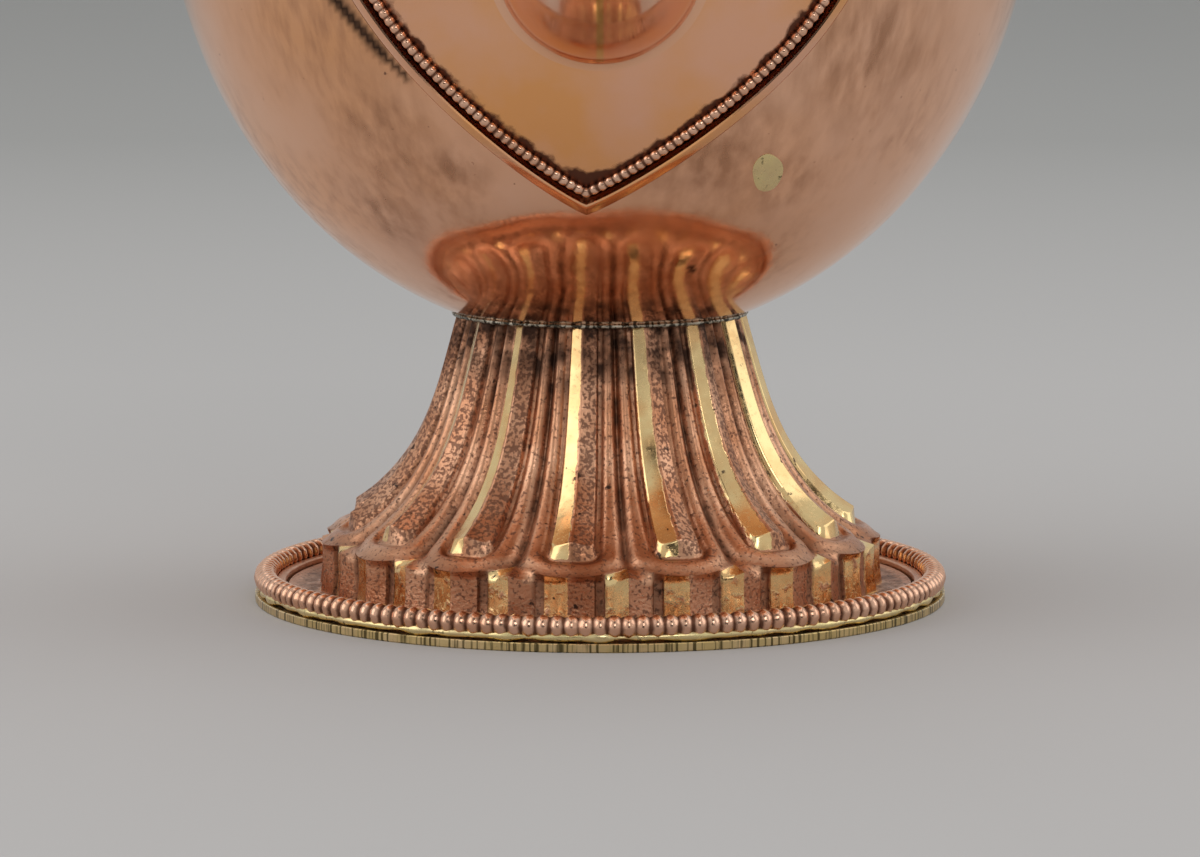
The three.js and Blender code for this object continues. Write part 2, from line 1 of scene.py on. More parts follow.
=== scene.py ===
# %% [markdown]
# # A spouted water vase of raised copper
# The vase is beaten from copper sheet and stands on a fluted lotus foot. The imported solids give
# every place and size. This lesson lays finer surfaces over them and gives each one its finish.
# Lengths are in millimetres while a shape is worked out, and in metres once it is a mesh.

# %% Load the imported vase
import math

import bmesh
import bpy
import numpy as np
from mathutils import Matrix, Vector


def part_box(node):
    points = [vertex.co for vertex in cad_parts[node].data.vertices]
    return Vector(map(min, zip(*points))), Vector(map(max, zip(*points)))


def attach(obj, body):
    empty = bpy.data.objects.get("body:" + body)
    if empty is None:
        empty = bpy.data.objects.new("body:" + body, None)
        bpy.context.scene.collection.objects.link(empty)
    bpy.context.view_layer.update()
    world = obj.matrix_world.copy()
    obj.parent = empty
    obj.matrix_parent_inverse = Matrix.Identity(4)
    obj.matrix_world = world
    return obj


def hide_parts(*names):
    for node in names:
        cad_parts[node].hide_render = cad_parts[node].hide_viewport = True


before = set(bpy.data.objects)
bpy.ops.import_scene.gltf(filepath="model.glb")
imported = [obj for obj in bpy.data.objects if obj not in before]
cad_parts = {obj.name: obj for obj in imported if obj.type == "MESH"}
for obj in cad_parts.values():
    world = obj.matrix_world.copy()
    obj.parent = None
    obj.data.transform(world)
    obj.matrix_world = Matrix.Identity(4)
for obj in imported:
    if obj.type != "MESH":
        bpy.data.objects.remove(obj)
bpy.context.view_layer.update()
MM = 0.001


def lowest_highest(node):
    """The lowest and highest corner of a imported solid, in millimetres."""
    return [np.array(corner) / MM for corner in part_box(node)]


print("packed solids:", len(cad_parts))

# %% [markdown]
# ## The camera
# The photograph looks slightly down from 65 cm away, through a long lens. The ellipses of the base
# and of the seam under the bowl gave the camera's height and distance.

# %% Set the camera
CAMERA_PLACE = Vector((0, -0.650, 0.1027))
CAMERA_AIM = Vector((0, 0, 0.022))
CAMERA_LENS = 151.1

camera_data = bpy.data.cameras.new("photo_camera")
camera_data.sensor_width = 36
camera_data.lens = CAMERA_LENS
camera = bpy.data.objects.new("photo_camera", camera_data)
camera.location = CAMERA_PLACE
camera.rotation_euler = (CAMERA_AIM - CAMERA_PLACE).to_track_quat("-Z", "Y").to_euler()
bpy.context.scene.collection.objects.link(camera)
bpy.context.scene.camera = camera
bpy.context.scene.view_settings.view_transform = "Standard"
print("camera:", tuple(camera.location))

# %% [markdown]
# ## From a grid of points to a mesh
# Every piece here is a grid of points, worked out as one array. A ring closes across its columns,
# and a tube or shell also closes from its last row to its first. The signed volume of the closed
# grid says whether its faces point out, so one helper can turn them the right way.


# %% Turn a grid into a mesh
def corners_of_quads(rows, columns, close_rows, close_columns):
    """Each quad joins a point to the next column and the next row, wrapping round where told."""
    index = np.arange(rows * columns).reshape(rows, columns)
    after = np.roll(index, -1, axis=0)
    if not close_rows:
        index, after = index[:-1], after[:-1]
    a, b, c, d = index, np.roll(index, -1, 1), np.roll(after, -1, 1), after
    if not close_columns:
        a, b, c, d = (corner[:, :-1] for corner in (a, b, c, d))
    return np.stack([a, b, c, d], axis=-1).reshape(-1, 4)


def signed_volume(points, quads):
    """A sixth of the sum of each triangle's triple product, positive when the faces point out."""
    a, b, c, d = (points[quads[:, k]] for k in range(4))
    return np.sum(a * np.cross(b, c) + a * np.cross(c, d)) / 6


def piece(name, grid, close_rows=True, close_columns=True, marks=None, sharp=38):
    """A mesh object from a (rows, columns, 3) grid in millimetres, with its marks as attributes."""
    points = grid.reshape(-1, 3)
    quads = corners_of_quads(*grid.shape[:2], close_rows, close_columns)
    if signed_volume(points, quads) < 0:
        quads = quads[:, ::-1]
    mesh = bpy.data.meshes.new(name)
    mesh.from_pydata((points * MM).tolist(), [], quads.tolist())
    for mark_name, values in (marks or {}).items():
        attribute = mesh.attributes.new(mark_name, "FLOAT", "POINT")
        attribute.data.foreach_set("value", np.ascontiguousarray(values, np.float32).ravel())
    merge_poles(mesh)
    mesh.shade_smooth()
    mesh.set_sharp_from_angle(angle=math.radians(sharp))
    made = bpy.data.objects.new(name, mesh)
    bpy.context.scene.collection.objects.link(made)
    print(name, len(mesh.polygons), "faces")
    return made


def merge_poles(mesh):
    """Points that fall on one place, as at a pole, become one point."""
    work = bmesh.new()
    work.from_mesh(mesh)
    bmesh.ops.remove_doubles(work, verts=work.verts, dist=1e-7)
    work.to_mesh(mesh)
    work.free()


def seat(made, material, slot, *nodes):
    """Gives a piece its finish, lets it ride on the vase, and hides the solids it stands for."""
    made.data.materials.append(material)
    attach(made, "root")
    if nodes:
        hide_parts(*nodes)
    return made


def ease(low, high, value):
    """The smooth step: 0 below low, 1 above high, and 3t² - 2t³ between them."""
    t = np.clip((value - low) / (high - low), 0, 1)
    return t * t * (3 - 2 * t)


# %% [markdown]
# ## Building finishes from nodes
# A finish is a small net of nodes on object coordinates. These helpers add one node each, so that
# a material reads as a list of what it is made of.


# %% Helpers for finishes
def add(material, kind, inputs=None, **settings):
    """Adds a node; each input is a value, or another node's output to be linked."""
    made = material.node_tree.nodes.new(kind)
    for key, value in settings.items():
        setattr(made, key, value)
    for key, value in (inputs or {}).items():
        if isinstance(value, bpy.types.NodeSocket):
            material.node_tree.links.new(value, made.inputs[key])
        else:
            made.inputs[key].default_value = value
    return made


def place(material, stretch=(1, 1, 1)):
    """Object coordinates, stretched along each axis."""
    coordinates = add(material, "ShaderNodeTexCoord").outputs["Object"]
    return add(material, "ShaderNodeMapping", {"Vector": coordinates, "Scale": stretch}).outputs[0]


def cloud(material, scale, detail=3, stretch=(1, 1, 1)):
    """Noise whose lumps are about 1 / scale metres wide."""
    inputs = {"Vector": place(material, stretch), "Scale": scale, "Detail": detail}
    return add(material, "ShaderNodeTexNoise", inputs).outputs[0]


def span(material, value, low, high, bottom=0.0, top=1.0):
    """Maps low..high to bottom..top, without going past either."""
    inputs = {0: value, 1: low, 2: high, 3: bottom, 4: top}
    return add(material, "ShaderNodeMapRange", inputs).outputs[0]


def mix(material, share, first, second):
    """A colour that goes from first to second with a share."""
    made = add(material, "ShaderNodeMix", {0: share}, data_type="RGBA")
    for socket, colour in ((made.inputs[6], first), (made.inputs[7], second)):
        if isinstance(colour, bpy.types.NodeSocket):
            material.node_tree.links.new(colour, socket)
        else:
            socket.default_value = (*colour, 1)
    return made.outputs[2]


def work_out(material, operation, first, second):
    """One sum of two values."""
    return add(material, "ShaderNodeMath", {0: first, 1: second}, operation=operation).outputs[0]


def mark(material, name):
    """An attribute that the mesh carries."""
    return add(material, "ShaderNodeAttribute", attribute_name=name).outputs["Fac"]


def relief(material, height, depth, below=None):
    """Bump of a real depth in metres, on top of another bump where one is given."""
    inputs = {"Height": height, "Distance": depth, "Strength": 1.0}
    if below is not None:
        inputs["Normal"] = below
    return add(material, "ShaderNodeBump", inputs).outputs[0]


def metal(material, colour, roughness, normal):
    """Makes the material a metal whose colour, roughness and relief come from nodes."""
    ready = {"Base Color": colour, "Roughness": roughness, "Normal": normal}
    shader = material.node_tree.nodes["Principled BSDF"]
    shader.inputs["Metallic"].default_value = 1.0
    for socket, value in ready.items():
        material.node_tree.links.new(value, shader.inputs[socket])
    return material


def blank(name):
    """A new material with its principled shader."""
    material = bpy.data.materials.new(name)
    material.use_nodes = True
    return material


# %% [markdown]
# ## Floor and light
# The vase stands on a pale table. Its colour is painted darker behind the vase and lighter in
# front, painted shade and painted light for the fall-off of the lamps. Large soft boxes give copper
# its broad pale reflections, and dark cards behind the camera give the polished facets their black
# ones, with one bright box between them. The cards show in reflections only.

# %% Lay the floor
# The pale tone is the table's own colour; the far tone is painted shade and the near tone is painted
# light.
FLOOR_PALE = (0.50, 0.485, 0.478)
FLOOR_FAR_SHADE = (0.40, 0.393, 0.383)
FLOOR_NEAR_LIGHT = (0.64, 0.63, 0.62)
FLOOR_SIZE = 8000

across, away = np.meshgrid([-FLOOR_SIZE, FLOOR_SIZE], [-FLOOR_SIZE, FLOOR_SIZE])
floor = piece("floor", np.stack([across, away, 0 * across], -1), False, False)
floor_finish = blank("pale_table")
depth_axis = add(floor_finish, "ShaderNodeSeparateXYZ", {0: place(floor_finish)}).outputs[1]
# Painted shade far behind the vase and painted light near the camera, standing in for the fall-off of
# the lamps.
far = span(floor_finish, depth_axis, 0.25, 0.9)
near = span(floor_finish, depth_axis, -0.17, -0.40)
table_tone_with_painted_falloff = mix(floor_finish, near, mix(floor_finish, far, FLOOR_PALE, FLOOR_FAR_SHADE), FLOOR_NEAR_LIGHT)
table_shader = floor_finish.node_tree.nodes["Principled BSDF"]
floor_finish.node_tree.links.new(table_tone_with_painted_falloff, table_shader.inputs["Base Color"])
table_shader.inputs["Roughness"].default_value = 0.9
table_shader.inputs["Specular IOR Level"].default_value = 0.1
floor.data.materials.append(floor_finish)

# %% Hang the lights
WORLD_LEVEL = 0.60
LAMP_AIM = Vector((0, 0, 0.08))


def soft_box(name, place_at, size, power):
    """A square area lamp that looks at the middle of the vase."""
    data = bpy.data.lights.new(name, "AREA")
    data.shape = "SQUARE"
    data.size = size
    data.energy = power
    lamp = bpy.data.objects.new(name, data)
    lamp.location = place_at
    lamp.rotation_euler = (LAMP_AIM - lamp.location).to_track_quat("-Z", "Y").to_euler()
    bpy.context.scene.collection.objects.link(lamp)


soft_box("left_box", (-1.25, -0.35, 0.75), 1.2, 5.0)
soft_box("right_box", (1.30, 0.10, 0.80), 1.1, 3.0)
soft_box("top_box", (0.0, 0.15, 1.5), 1.2, 3.5)
soft_box("front_box", (0.24, -1.0, 0.62), 0.42, 1.4)
world = bpy.data.worlds.new("plain_room")
world.use_nodes = True
world.node_tree.nodes["Background"].inputs["Color"].default_value = (0.98, 1.0, 1.0, 1)
world.node_tree.nodes["Background"].inputs["Strength"].default_value = WORLD_LEVEL
bpy.context.scene.world = world

# %% Stand dark cards behind the camera
CARD_Y = -1150

card_finish = blank("dark_card")
card_shader = card_finish.node_tree.nodes["Principled BSDF"]
card_shader.inputs["Base Color"].default_value = (0.01, 0.01, 0.01, 1)


def dark_card(name, left, right, low, high):
    """An upright card that only reflections see."""
    across, up = np.meshgrid([left, right], [low, high])
    card = piece(name, np.stack([across, 0 * across + CARD_Y, up], -1), False, False)
    card.data.materials.append(card_finish)
    card.visible_camera = False
    card.visible_diffuse = False
    card.visible_shadow = False


dark_card("low_card", -330, 620, 40, 470)
dark_card("high_card", -330, 620, 900, 2200)

# %% [markdown]
# ## Polished copper
# The bowl has been rubbed bright, but not evenly: its tone drifts between pink and orange, brush
# strokes run down it, and the beaten sheet is never quite true, so reflections waver. A stain
# mark, worked out with the bowl's shape, darkens it where polish and fingers left tarnish.


# %% Make the polished copper
BRUSHED = (1, 1, 0.14)


def polished_copper(name, first, second, gloss=0.10, stained=False):
    """Two copper tones in large clouds, brush strokes in patches, and relief from the hammer."""
    m = blank(name)
    tone = mix(m, span(m, cloud(m, 24, 5), 0.36, 0.66), first, second)
    strands_of_brush = span(m, cloud(m, 650, 3, BRUSHED), 0.42, 0.72)
    strokes_here = work_out(m, "MULTIPLY", strands_of_brush, span(m, cloud(m, 48, 5), 0.42, 0.68))
    tone = mix(m, work_out(m, "MULTIPLY", strokes_here, 0.55), tone, (0.46, 0.22, 0.13))
    even = span(m, cloud(m, 60, 6), 0.3, 0.7, gloss - 0.04, gloss + 0.05)
    rough = work_out(m, "ADD", even, work_out(m, "MULTIPLY", strokes_here, 0.14))
    if stained:
        blotch = work_out(m, "MULTIPLY", mark(m, "stain"), span(m, cloud(m, 300, 4), 0.12, 0.40))
        tone = mix(m, blotch, tone, (0.05, 0.028, 0.02))
        strands = span(m, cloud(m, 420, 5, BRUSHED), 0.34, 0.66)
        smear = work_out(m, "MULTIPLY", mark(m, "smear"), strands)
        tone = mix(m, work_out(m, "MULTIPLY", smear, 0.8), tone, (0.42, 0.20, 0.11))
        rough = work_out(m, "ADD", rough, work_out(m, "MULTIPLY", smear, 0.15))
    speck = span(m, cloud(m, 900, 2), 0.74, 0.80)
    tone = mix(m, speck, tone, (0.30, 0.15, 0.10))
    hammer = relief(m, cloud(m, 55, 1), 0.0005)
    scratches = relief(m, cloud(m, 900, 3, BRUSHED), 0.000012, hammer)
    return metal(m, tone, rough, scratches)


COPPER_PINK = (0.94, 0.56, 0.38)
COPPER_ORANGE = (0.90, 0.45, 0.22)
bowl_copper = polished_copper("bowl_copper", COPPER_PINK, COPPER_ORANGE, stained=True)
top_copper = polished_copper("top_copper", COPPER_PINK, COPPER_ORANGE, gloss=0.14)

# %% [markdown]
# ## The bowl
# Two raised halves meet at the widest place. Each is half of an ellipsoid, so its outline is a
# quarter of an ellipse turned about the axis, with a second quarter inside for the wall. A fine
# grid matters here: on a mirror every facet would show.

# %% Measure the bowl
lower_lo, lower_hi = lowest_highest("lower_bowl")
BOWL_Z = lower_hi[2]
BOWL_RADIUS = lower_hi[0]
BOWL_DROP = lower_hi[2] - lower_lo[2]
BOWL_RISE = 50.0
BOWL_WALL = 1.2
SHOULDER_Z = lowest_highest("upper_bowl")[1][2]
NECK_HOLE = 13.0


def turned(profile, columns=224):
    """A profile of radius and height turned about Z, starting at the spout's side."""
    angle = np.linspace(0, 2 * np.pi, columns, endpoint=False)
    radius, height = np.asarray(profile, float).T
    x, y = np.outer(radius, np.sin(angle)), -np.outer(radius, np.cos(angle))
    return np.stack([x, y, np.outer(height, np.ones(columns))], -1)


def quarter(tall, radius, end, rows=72):
    """Radius and height along a quarter ellipse, from the seam to a share of its height."""
    angle = np.linspace(0, math.asin(end), rows)
    return np.stack([radius * np.cos(angle), BOWL_Z + tall * np.sin(angle)], -1)


def on_bowl(around, height, lift):
    """The point that lies `around` mm along the bowl from the spout, `lift` mm off its skin."""
    around, height, lift = np.broadcast_arrays(around, height, lift)
    tall = np.where(height < BOWL_Z, BOWL_DROP, BOWL_RISE)
    radius = BOWL_RADIUS * np.sqrt(np.clip(1 - ((height - BOWL_Z) / tall) ** 2, 0.01, 1))
    angle = around / radius
    skin = np.stack([radius * np.sin(angle), -radius * np.cos(angle), height], -1)
    scale = np.stack([tall * 0 + BOWL_RADIUS, tall * 0 + BOWL_RADIUS, tall], -1)
    normal = (skin - [0, 0, BOWL_Z]) / scale**2
    normal /= np.linalg.norm(normal, axis=-1, keepdims=True)
    return skin + normal * lift[..., None]


# %% Mark the stains of the bowl
# A smear is a soft ellipse: its angle from the spout and height, then its two half widths. A
# stroke runs between two such places, and has a half width in millimetres.
STROKES = [
    (-37.4, 80.6, -30.2, 72.9, 0.95), (-30.4, 73.0, -27.0, 70.0, 0.45), (19.6, 45.9, 21.2, 45.3, 0.4),
]
SMEARS = [
    (-42, 52, 7, 4), (17, 61, 12, 9), (31, 57, 5, 4), (38, 74, 14, 9), (-33, 63, 8, 7), (-24, 58, 6, 4),
]
UPPER_SMEARS = [(40, 108, 16, 8)]


def soft_spots(grid, spots):
    """The strongest of several bell curves over angle and height."""
    angle = np.degrees(np.arctan2(grid[..., 0], -grid[..., 1]))
    bells = [
        np.exp(-(((angle - a) / wide) ** 2) - ((grid[..., 2] - z) / tall) ** 2)
        for a, z, wide, tall in spots
    ]
    return np.max(bells, axis=0)


def strokes(grid, lines):
    """One on each line, falling to nought past its half width."""
    degree = math.radians(BOWL_RADIUS)
    angle = np.degrees(np.arctan2(grid[..., 0], -grid[..., 1]))
    here = np.stack([angle * degree, grid[..., 2]], -1)
    cover = np.zeros(grid.shape[:2])
    for first_angle, first_z, last_angle, last_z, wide in lines:
        start = np.array([first_angle * degree, first_z])
        way = np.array([last_angle * degree, last_z]) - start
        share = np.clip((here - start) @ way / (way @ way), 0, 1)
        distance = np.linalg.norm(here - start - share[..., None] * way, axis=-1)
        cover = np.maximum(cover, 1 - ease(wide * 0.4, wide * 1.5, distance))
    return cover


# %% Raise the lower half
lower_profile = np.vstack([
    quarter(-BOWL_DROP, BOWL_RADIUS, 1, 120)[::-1],
    quarter(-BOWL_DROP + BOWL_WALL, BOWL_RADIUS - BOWL_WALL, 1, 24),
])
lower_grid = turned(lower_profile, 448)
lower_marks = {"stain": strokes(lower_grid, STROKES), "smear": soft_spots(lower_grid, SMEARS)}
lower_bowl = piece("lower_bowl_skin", lower_grid, close_rows=False, marks=lower_marks)
seat(lower_bowl, bowl_copper, "polished_copper", "lower_bowl")

# %% Raise the upper half
shoulder_share = (SHOULDER_Z - BOWL_Z) / BOWL_RISE
inner_share = (SHOULDER_Z - BOWL_WALL - BOWL_Z) / (BOWL_RISE - BOWL_WALL)
upper_profile = np.vstack([
    quarter(BOWL_RISE, BOWL_RADIUS, shoulder_share),
    [[NECK_HOLE, SHOULDER_Z], [NECK_HOLE, SHOULDER_Z - BOWL_WALL]],
    quarter(BOWL_RISE - BOWL_WALL, BOWL_RADIUS - BOWL_WALL, inner_share, 24)[::-1],
])
upper_grid = turned(upper_profile)
upper_marks = {"stain": 0 * upper_grid[..., 0], "smear": soft_spots(upper_grid, UPPER_SMEARS)}
upper_bowl = piece("upper_bowl_skin", upper_grid, marks=upper_marks)
seat(upper_bowl, bowl_copper, "polished_copper", "upper_bowl")

# %% [markdown]
# ## The lotus foot
# Fifteen petals run down the foot. Each has a raised tongue with a ridge, a groove round it, a
# rounded border, and a dark valley before the next petal. The tongue ends in a steep face above
# the petal's lip, and below the lips an upright skirt is folded into facets. The surface is a
# smooth flared profile, pushed out by a height that depends on the place within the petal.

# %% Sizes of the foot
foot_lo, foot_hi = lowest_highest("lotus_foot_shell")
PETALS = 15
PETAL_PHASE = -6.2
FOOT_TOP_RADIUS = 18.9
FOOT_TOP_Z = foot_hi[2]
TONGUE_END = np.array([32.8, 11.9])
FLARE_POWER = 4.2
LIP_RADIUS, LIP_Z = 36.5, 8.0
LIP_BULGE = 3.3
FLANGE_RADIUS = foot_hi[0] - 0.05
FLANGE_Z = foot_lo[2] + 0.8
TONGUE_WIDTH = 0.40
EDGE_SHARE = 0.5
ABOUT_PETAL = np.array([
    0, 0.025, 0.10, 0.19, 0.28, 0.34, 0.37, 0.395, 0.42, 0.44, 0.46, 0.49, 0.52,
    0.55, 0.58, 0.61, 0.65, 0.70, 0.76, 0.81, 0.85, 0.89, 0.93, 0.965, 0.985,
])


def ridge_line(down):
    """Half of the ridge's spread is even, and half comes with a high power of the way down."""
    spread = 0.5 * down + 0.5 * down**FLARE_POWER
    radius = FOOT_TOP_RADIUS + (TONGUE_END[0] - FOOT_TOP_RADIUS) * spread
    return np.stack([radius, FOOT_TOP_Z + (TONGUE_END[1] - FOOT_TOP_Z) * down], -1)


def ridge_height(down):
    """How far the ridge stands over the groove: a little at the top, more with the cube."""
    return 1.25 + 1.05 * down**3


# %% Work out the flared floor of the grooves
FLUTE_END = 0.88
REACH = 4.6
APRON_WAY = np.concatenate([
    np.linspace(0.03, 0.45, 9), np.linspace(0.465, 0.70, 20), np.linspace(0.73, 1, 9),
])
TOE_WAY = 0.52


def slopes(line):
    """The unit direction along a line of points, down its rows."""
    step = np.gradient(line, axis=0)
    return step / np.linalg.norm(step, axis=-1, keepdims=True)


def groove_floor(across):
    """The ridge line set back by its height, then a quadratic curve out to each column's lip."""
    down = np.linspace(0, FLUTE_END, 34)
    line = ridge_line(down)
    run = slopes(line)
    back = np.stack([run[:, 1], -run[:, 0]], -1)
    flute = line + back * ridge_height(down)[:, None]
    lip = np.stack([LIP_RADIUS - LIP_BULGE * across**2, LIP_Z - 0.1 + 0.9 * across**2], -1)
    w = APRON_WAY[:, None, None]
    knee = flute[-1] + REACH * run[-1]
    apron = (1 - w) ** 2 * flute[-1] + 2 * w * (1 - w) * knee + w**2 * lip
    upper = np.repeat(flute[:, None], len(across), axis=1)
    height = np.concatenate([ridge_height(down), np.full(len(APRON_WAY), ridge_height(FLUTE_END))])
    toe_row = len(down) + np.searchsorted(APRON_WAY, TOE_WAY)
    return np.concatenate([upper, apron]), height[:, None], toe_row


# %% Work out the height of petals over that floor
TOE_RADIUS = 0.9
SIDE_FACE, TOE_FACE = 0.24, 1.5
GROOVE_WIDTH = 0.45
BORDER_HEIGHT, BORDER_RISE = 0.62, 0.9
VALLEY_DEPTH, LIP_FADE = 0.4, 2.2


def petal_height(floor_line, ridge, toe_row, across, shift):
    """The distance from the tongue's outline, a strip with a round end, sets tongue, groove and
    border; the distance from the petal's own edge sets the valley. The tongue's wall is a straight
    ramp, steep at its sides, and at its toe just long enough to stand upright on the slope."""
    steps = np.linalg.norm(np.diff(floor_line, axis=0), axis=-1)
    along = np.vstack([np.zeros(steps.shape[1]), np.cumsum(steps, axis=0)])
    half = np.pi * floor_line[..., 0] / PETALS
    wide = TONGUE_WIDTH * half
    side = np.abs(across) * half
    end = along[toe_row] + shift
    past_side = side - (wide - TOE_RADIUS)
    past_end = along - (end - TOE_RADIUS)
    away = np.hypot(np.maximum(past_side, 0), np.maximum(past_end, 0))
    toe_way = np.maximum(past_end, 0) / np.maximum(away, 1e-6)
    outside = away + np.minimum(np.maximum(past_side, past_end), 0) - TOE_RADIUS
    face = SIDE_FACE + (TOE_FACE - SIDE_FACE) * toe_way**2
    tongue = np.clip(1 - outside / face, 0, 1)
    gable = EDGE_SHARE + (1 - EDGE_SHARE) * (1 - np.clip(side / wide, 0, 1))
    past_groove = outside - face - GROOVE_WIDTH
    to_edge = (1 - np.abs(across)) * half
    to_lip = along[-1] - along
    rise = np.sin(np.pi / 2 * np.clip(past_groove / BORDER_RISE, 0, 1))
    crown = rise * ease(0.03 * half, 0.22 * half, to_edge)
    off_lip = ease(0, LIP_FADE, to_lip)
    border = BORDER_HEIGHT * crown * (0.2 + 0.8 * off_lip)
    valley = VALLEY_DEPTH * (1 - ease(0, 0.10 * half, to_edge)) * off_lip
    return tongue * ridge * gable + (1 - tongue) * (border - valley), tongue


# %% Fold the skirt below the lips
# Shares are of the way from the ridge to the petal's edge. The face under the petal ends at the
# first, and the fold behind the notch starts at the second.
FACE_END, FOLD_START, FOLD_EDGE = 0.43, 0.60, 0.61
FACE_SLOPE, FOLD_SLOPE, FOLD_RISE = 1.9, 1.7, 2.3
FOLD_RADIUS, FOLD_Z = 35.55, 7.0
NOTCH_RADIUS, NOTCH_Z = 35.25, 7.35
SKIRT_SPREAD, SKIRT_HOLLOW = 0.3, 0.18


def skirt_lines(across):
    """Top and bottom of the skirt by column: a gabled face under each petal, a narrow groove
    beside it, and a smaller gabled face behind each notch."""
    away = np.abs(across)
    face = LIP_RADIUS - FACE_SLOPE * away
    fold = FOLD_RADIUS + FOLD_SLOPE * np.clip(away - FOLD_EDGE, 0, 1)
    radius = np.where(away < FACE_END, face, np.where(away > FOLD_START, fold, NOTCH_RADIUS))
    height = np.where(away > FOLD_START, FOLD_Z + FOLD_RISE * (away - FOLD_EDGE), NOTCH_Z)
    top = np.stack([radius, height], -1)
    bottom = np.stack([radius + SKIRT_SPREAD, np.full_like(radius, FLANGE_Z)], -1)
    return top, bottom


def between(first, last, rows, hollow=0.0):
    """Rows from one line of points to another, drawn in between them by a sine."""
    f = np.linspace(0, 1, rows + 1)[1:, None, None]
    rows_between = first + (last - first) * f
    rows_between[..., 0] -= hollow * np.sin(np.pi * f[..., 0])
    return rows_between


# %% Put the foot together
LIP_ROWS, SKIRT_ROWS, FLANGE_ROWS, GRIMY_FLANGE_ROWS = 5, 12, 5, 3

chance = np.random.default_rng(15)
half_petal = np.concatenate([[-1], -ABOUT_PETAL[:0:-1], ABOUT_PETAL])
across = np.tile(half_petal, PETALS)
petal = np.repeat(np.arange(PETALS), len(half_petal))
sway = chance.uniform(-0.3, 0.3, PETALS)[petal] * (1 - np.abs(across))
toe_shift = chance.uniform(-0.25, 0.35, PETALS)[petal]
foot_angle = np.radians(PETAL_PHASE + (petal + across / 2) * 360 / PETALS + sway)

floor_line, ridge, toe_row = groove_floor(across)
height, tongue = petal_height(floor_line, ridge, toe_row, across, toe_shift)
run = slopes(floor_line)
outer = floor_line + np.stack([-run[..., 1], run[..., 0]], -1) * height[..., None]
outer[0, :, 1] = FOOT_TOP_Z
skirt_top, skirt_bottom = skirt_lines(across)
flange_edge = np.broadcast_to([FLANGE_RADIUS, FLANGE_Z], skirt_top.shape)
under_edge = np.broadcast_to([FLANGE_RADIUS, foot_lo[2]], skirt_top.shape)
inside = [[31.0, foot_lo[2]], [31.0, 5.8], [27.5, 10.5], [21.2, 20.2], [16.3, FOOT_TOP_Z - 1.0]]
lining = [np.broadcast_to([place_in], (1, len(across), 2)) for place_in in inside]
foot_profile = np.concatenate([
    outer,
    between(outer[-1], skirt_top, LIP_ROWS),
    between(skirt_top, skirt_bottom, SKIRT_ROWS, hollow=SKIRT_HOLLOW),
    between(skirt_bottom, flange_edge, FLANGE_ROWS),
    between(flange_edge, under_edge, 1),
    *lining,
])
foot_grid = np.stack([
    foot_profile[..., 0] * np.sin(foot_angle),
    -foot_profile[..., 0] * np.cos(foot_angle),
    foot_profile[..., 1],
], -1)
print("foot rows and columns:", foot_grid.shape[:2])


# %% Mark where the foot is worn bright and where grime stays
def foot_marks():
    """Wear lies on the left facet of each tongue and fold, and everywhere on the far right; grime
    lies low in the grooves, in the valleys, and under the bowl."""
    rows, columns = foot_profile.shape[:2]
    bright, grime = np.zeros((rows, columns)), np.zeros((rows, columns))
    flutes = len(outer)
    skirt_end = flutes + LIP_ROWS + SKIRT_ROWS
    left = ease(-0.015, -0.055, across) * ease(-TONGUE_WIDTH - 0.06, -TONGUE_WIDTH + 0.03, across)
    far_right = ease(48, 62, np.degrees(foot_angle)) * ease(120, 100, np.degrees(foot_angle))
    bright[:flutes] = ease(0, 0.2, tongue) * np.maximum(left, far_right)
    face_left = (across < 0) & (across > -FACE_END)
    bright[flutes:skirt_end] = 0.75 * np.where(np.abs(across) > FOLD_START, across > 0, face_left)
    low = 1 - ease(0.0, 0.35, height / ridge)
    valley = ease(0.90, 0.98, np.abs(across))
    under_bowl = ease(FOOT_TOP_Z - 11, FOOT_TOP_Z - 1, floor_line[..., 1])
    high = under_bowl * (1 - 0.75 * bright[:flutes])
    grime[:flutes] = np.clip(0.35 * low * (1 - tongue) + 0.45 * valley + 1.1 * high, 0, 1)
    corner = ease(0.40, 0.45, np.abs(across)) * ease(0.64, 0.60, np.abs(across))
    grime[flutes:skirt_end] = 0.55 * corner
    grime[skirt_end:skirt_end + GRIMY_FLANGE_ROWS] = 0.7
    pitted = np.zeros((rows, columns))
    pitted[:flutes] = ease(0, 0.3, tongue) * (across > 0) + 0.35
    pitted[flutes:] = 0.6
    return {"bright": bright, "grime": grime, "pitted": pitted}


# %% [markdown]
# ## Worn and pitted copper
# The foot was cast or chased roughly and never polished all over. Its hollows are reddish brown
# and finely pitted, its facets are worn to a yellow shine, and dark specks lie along the edges.


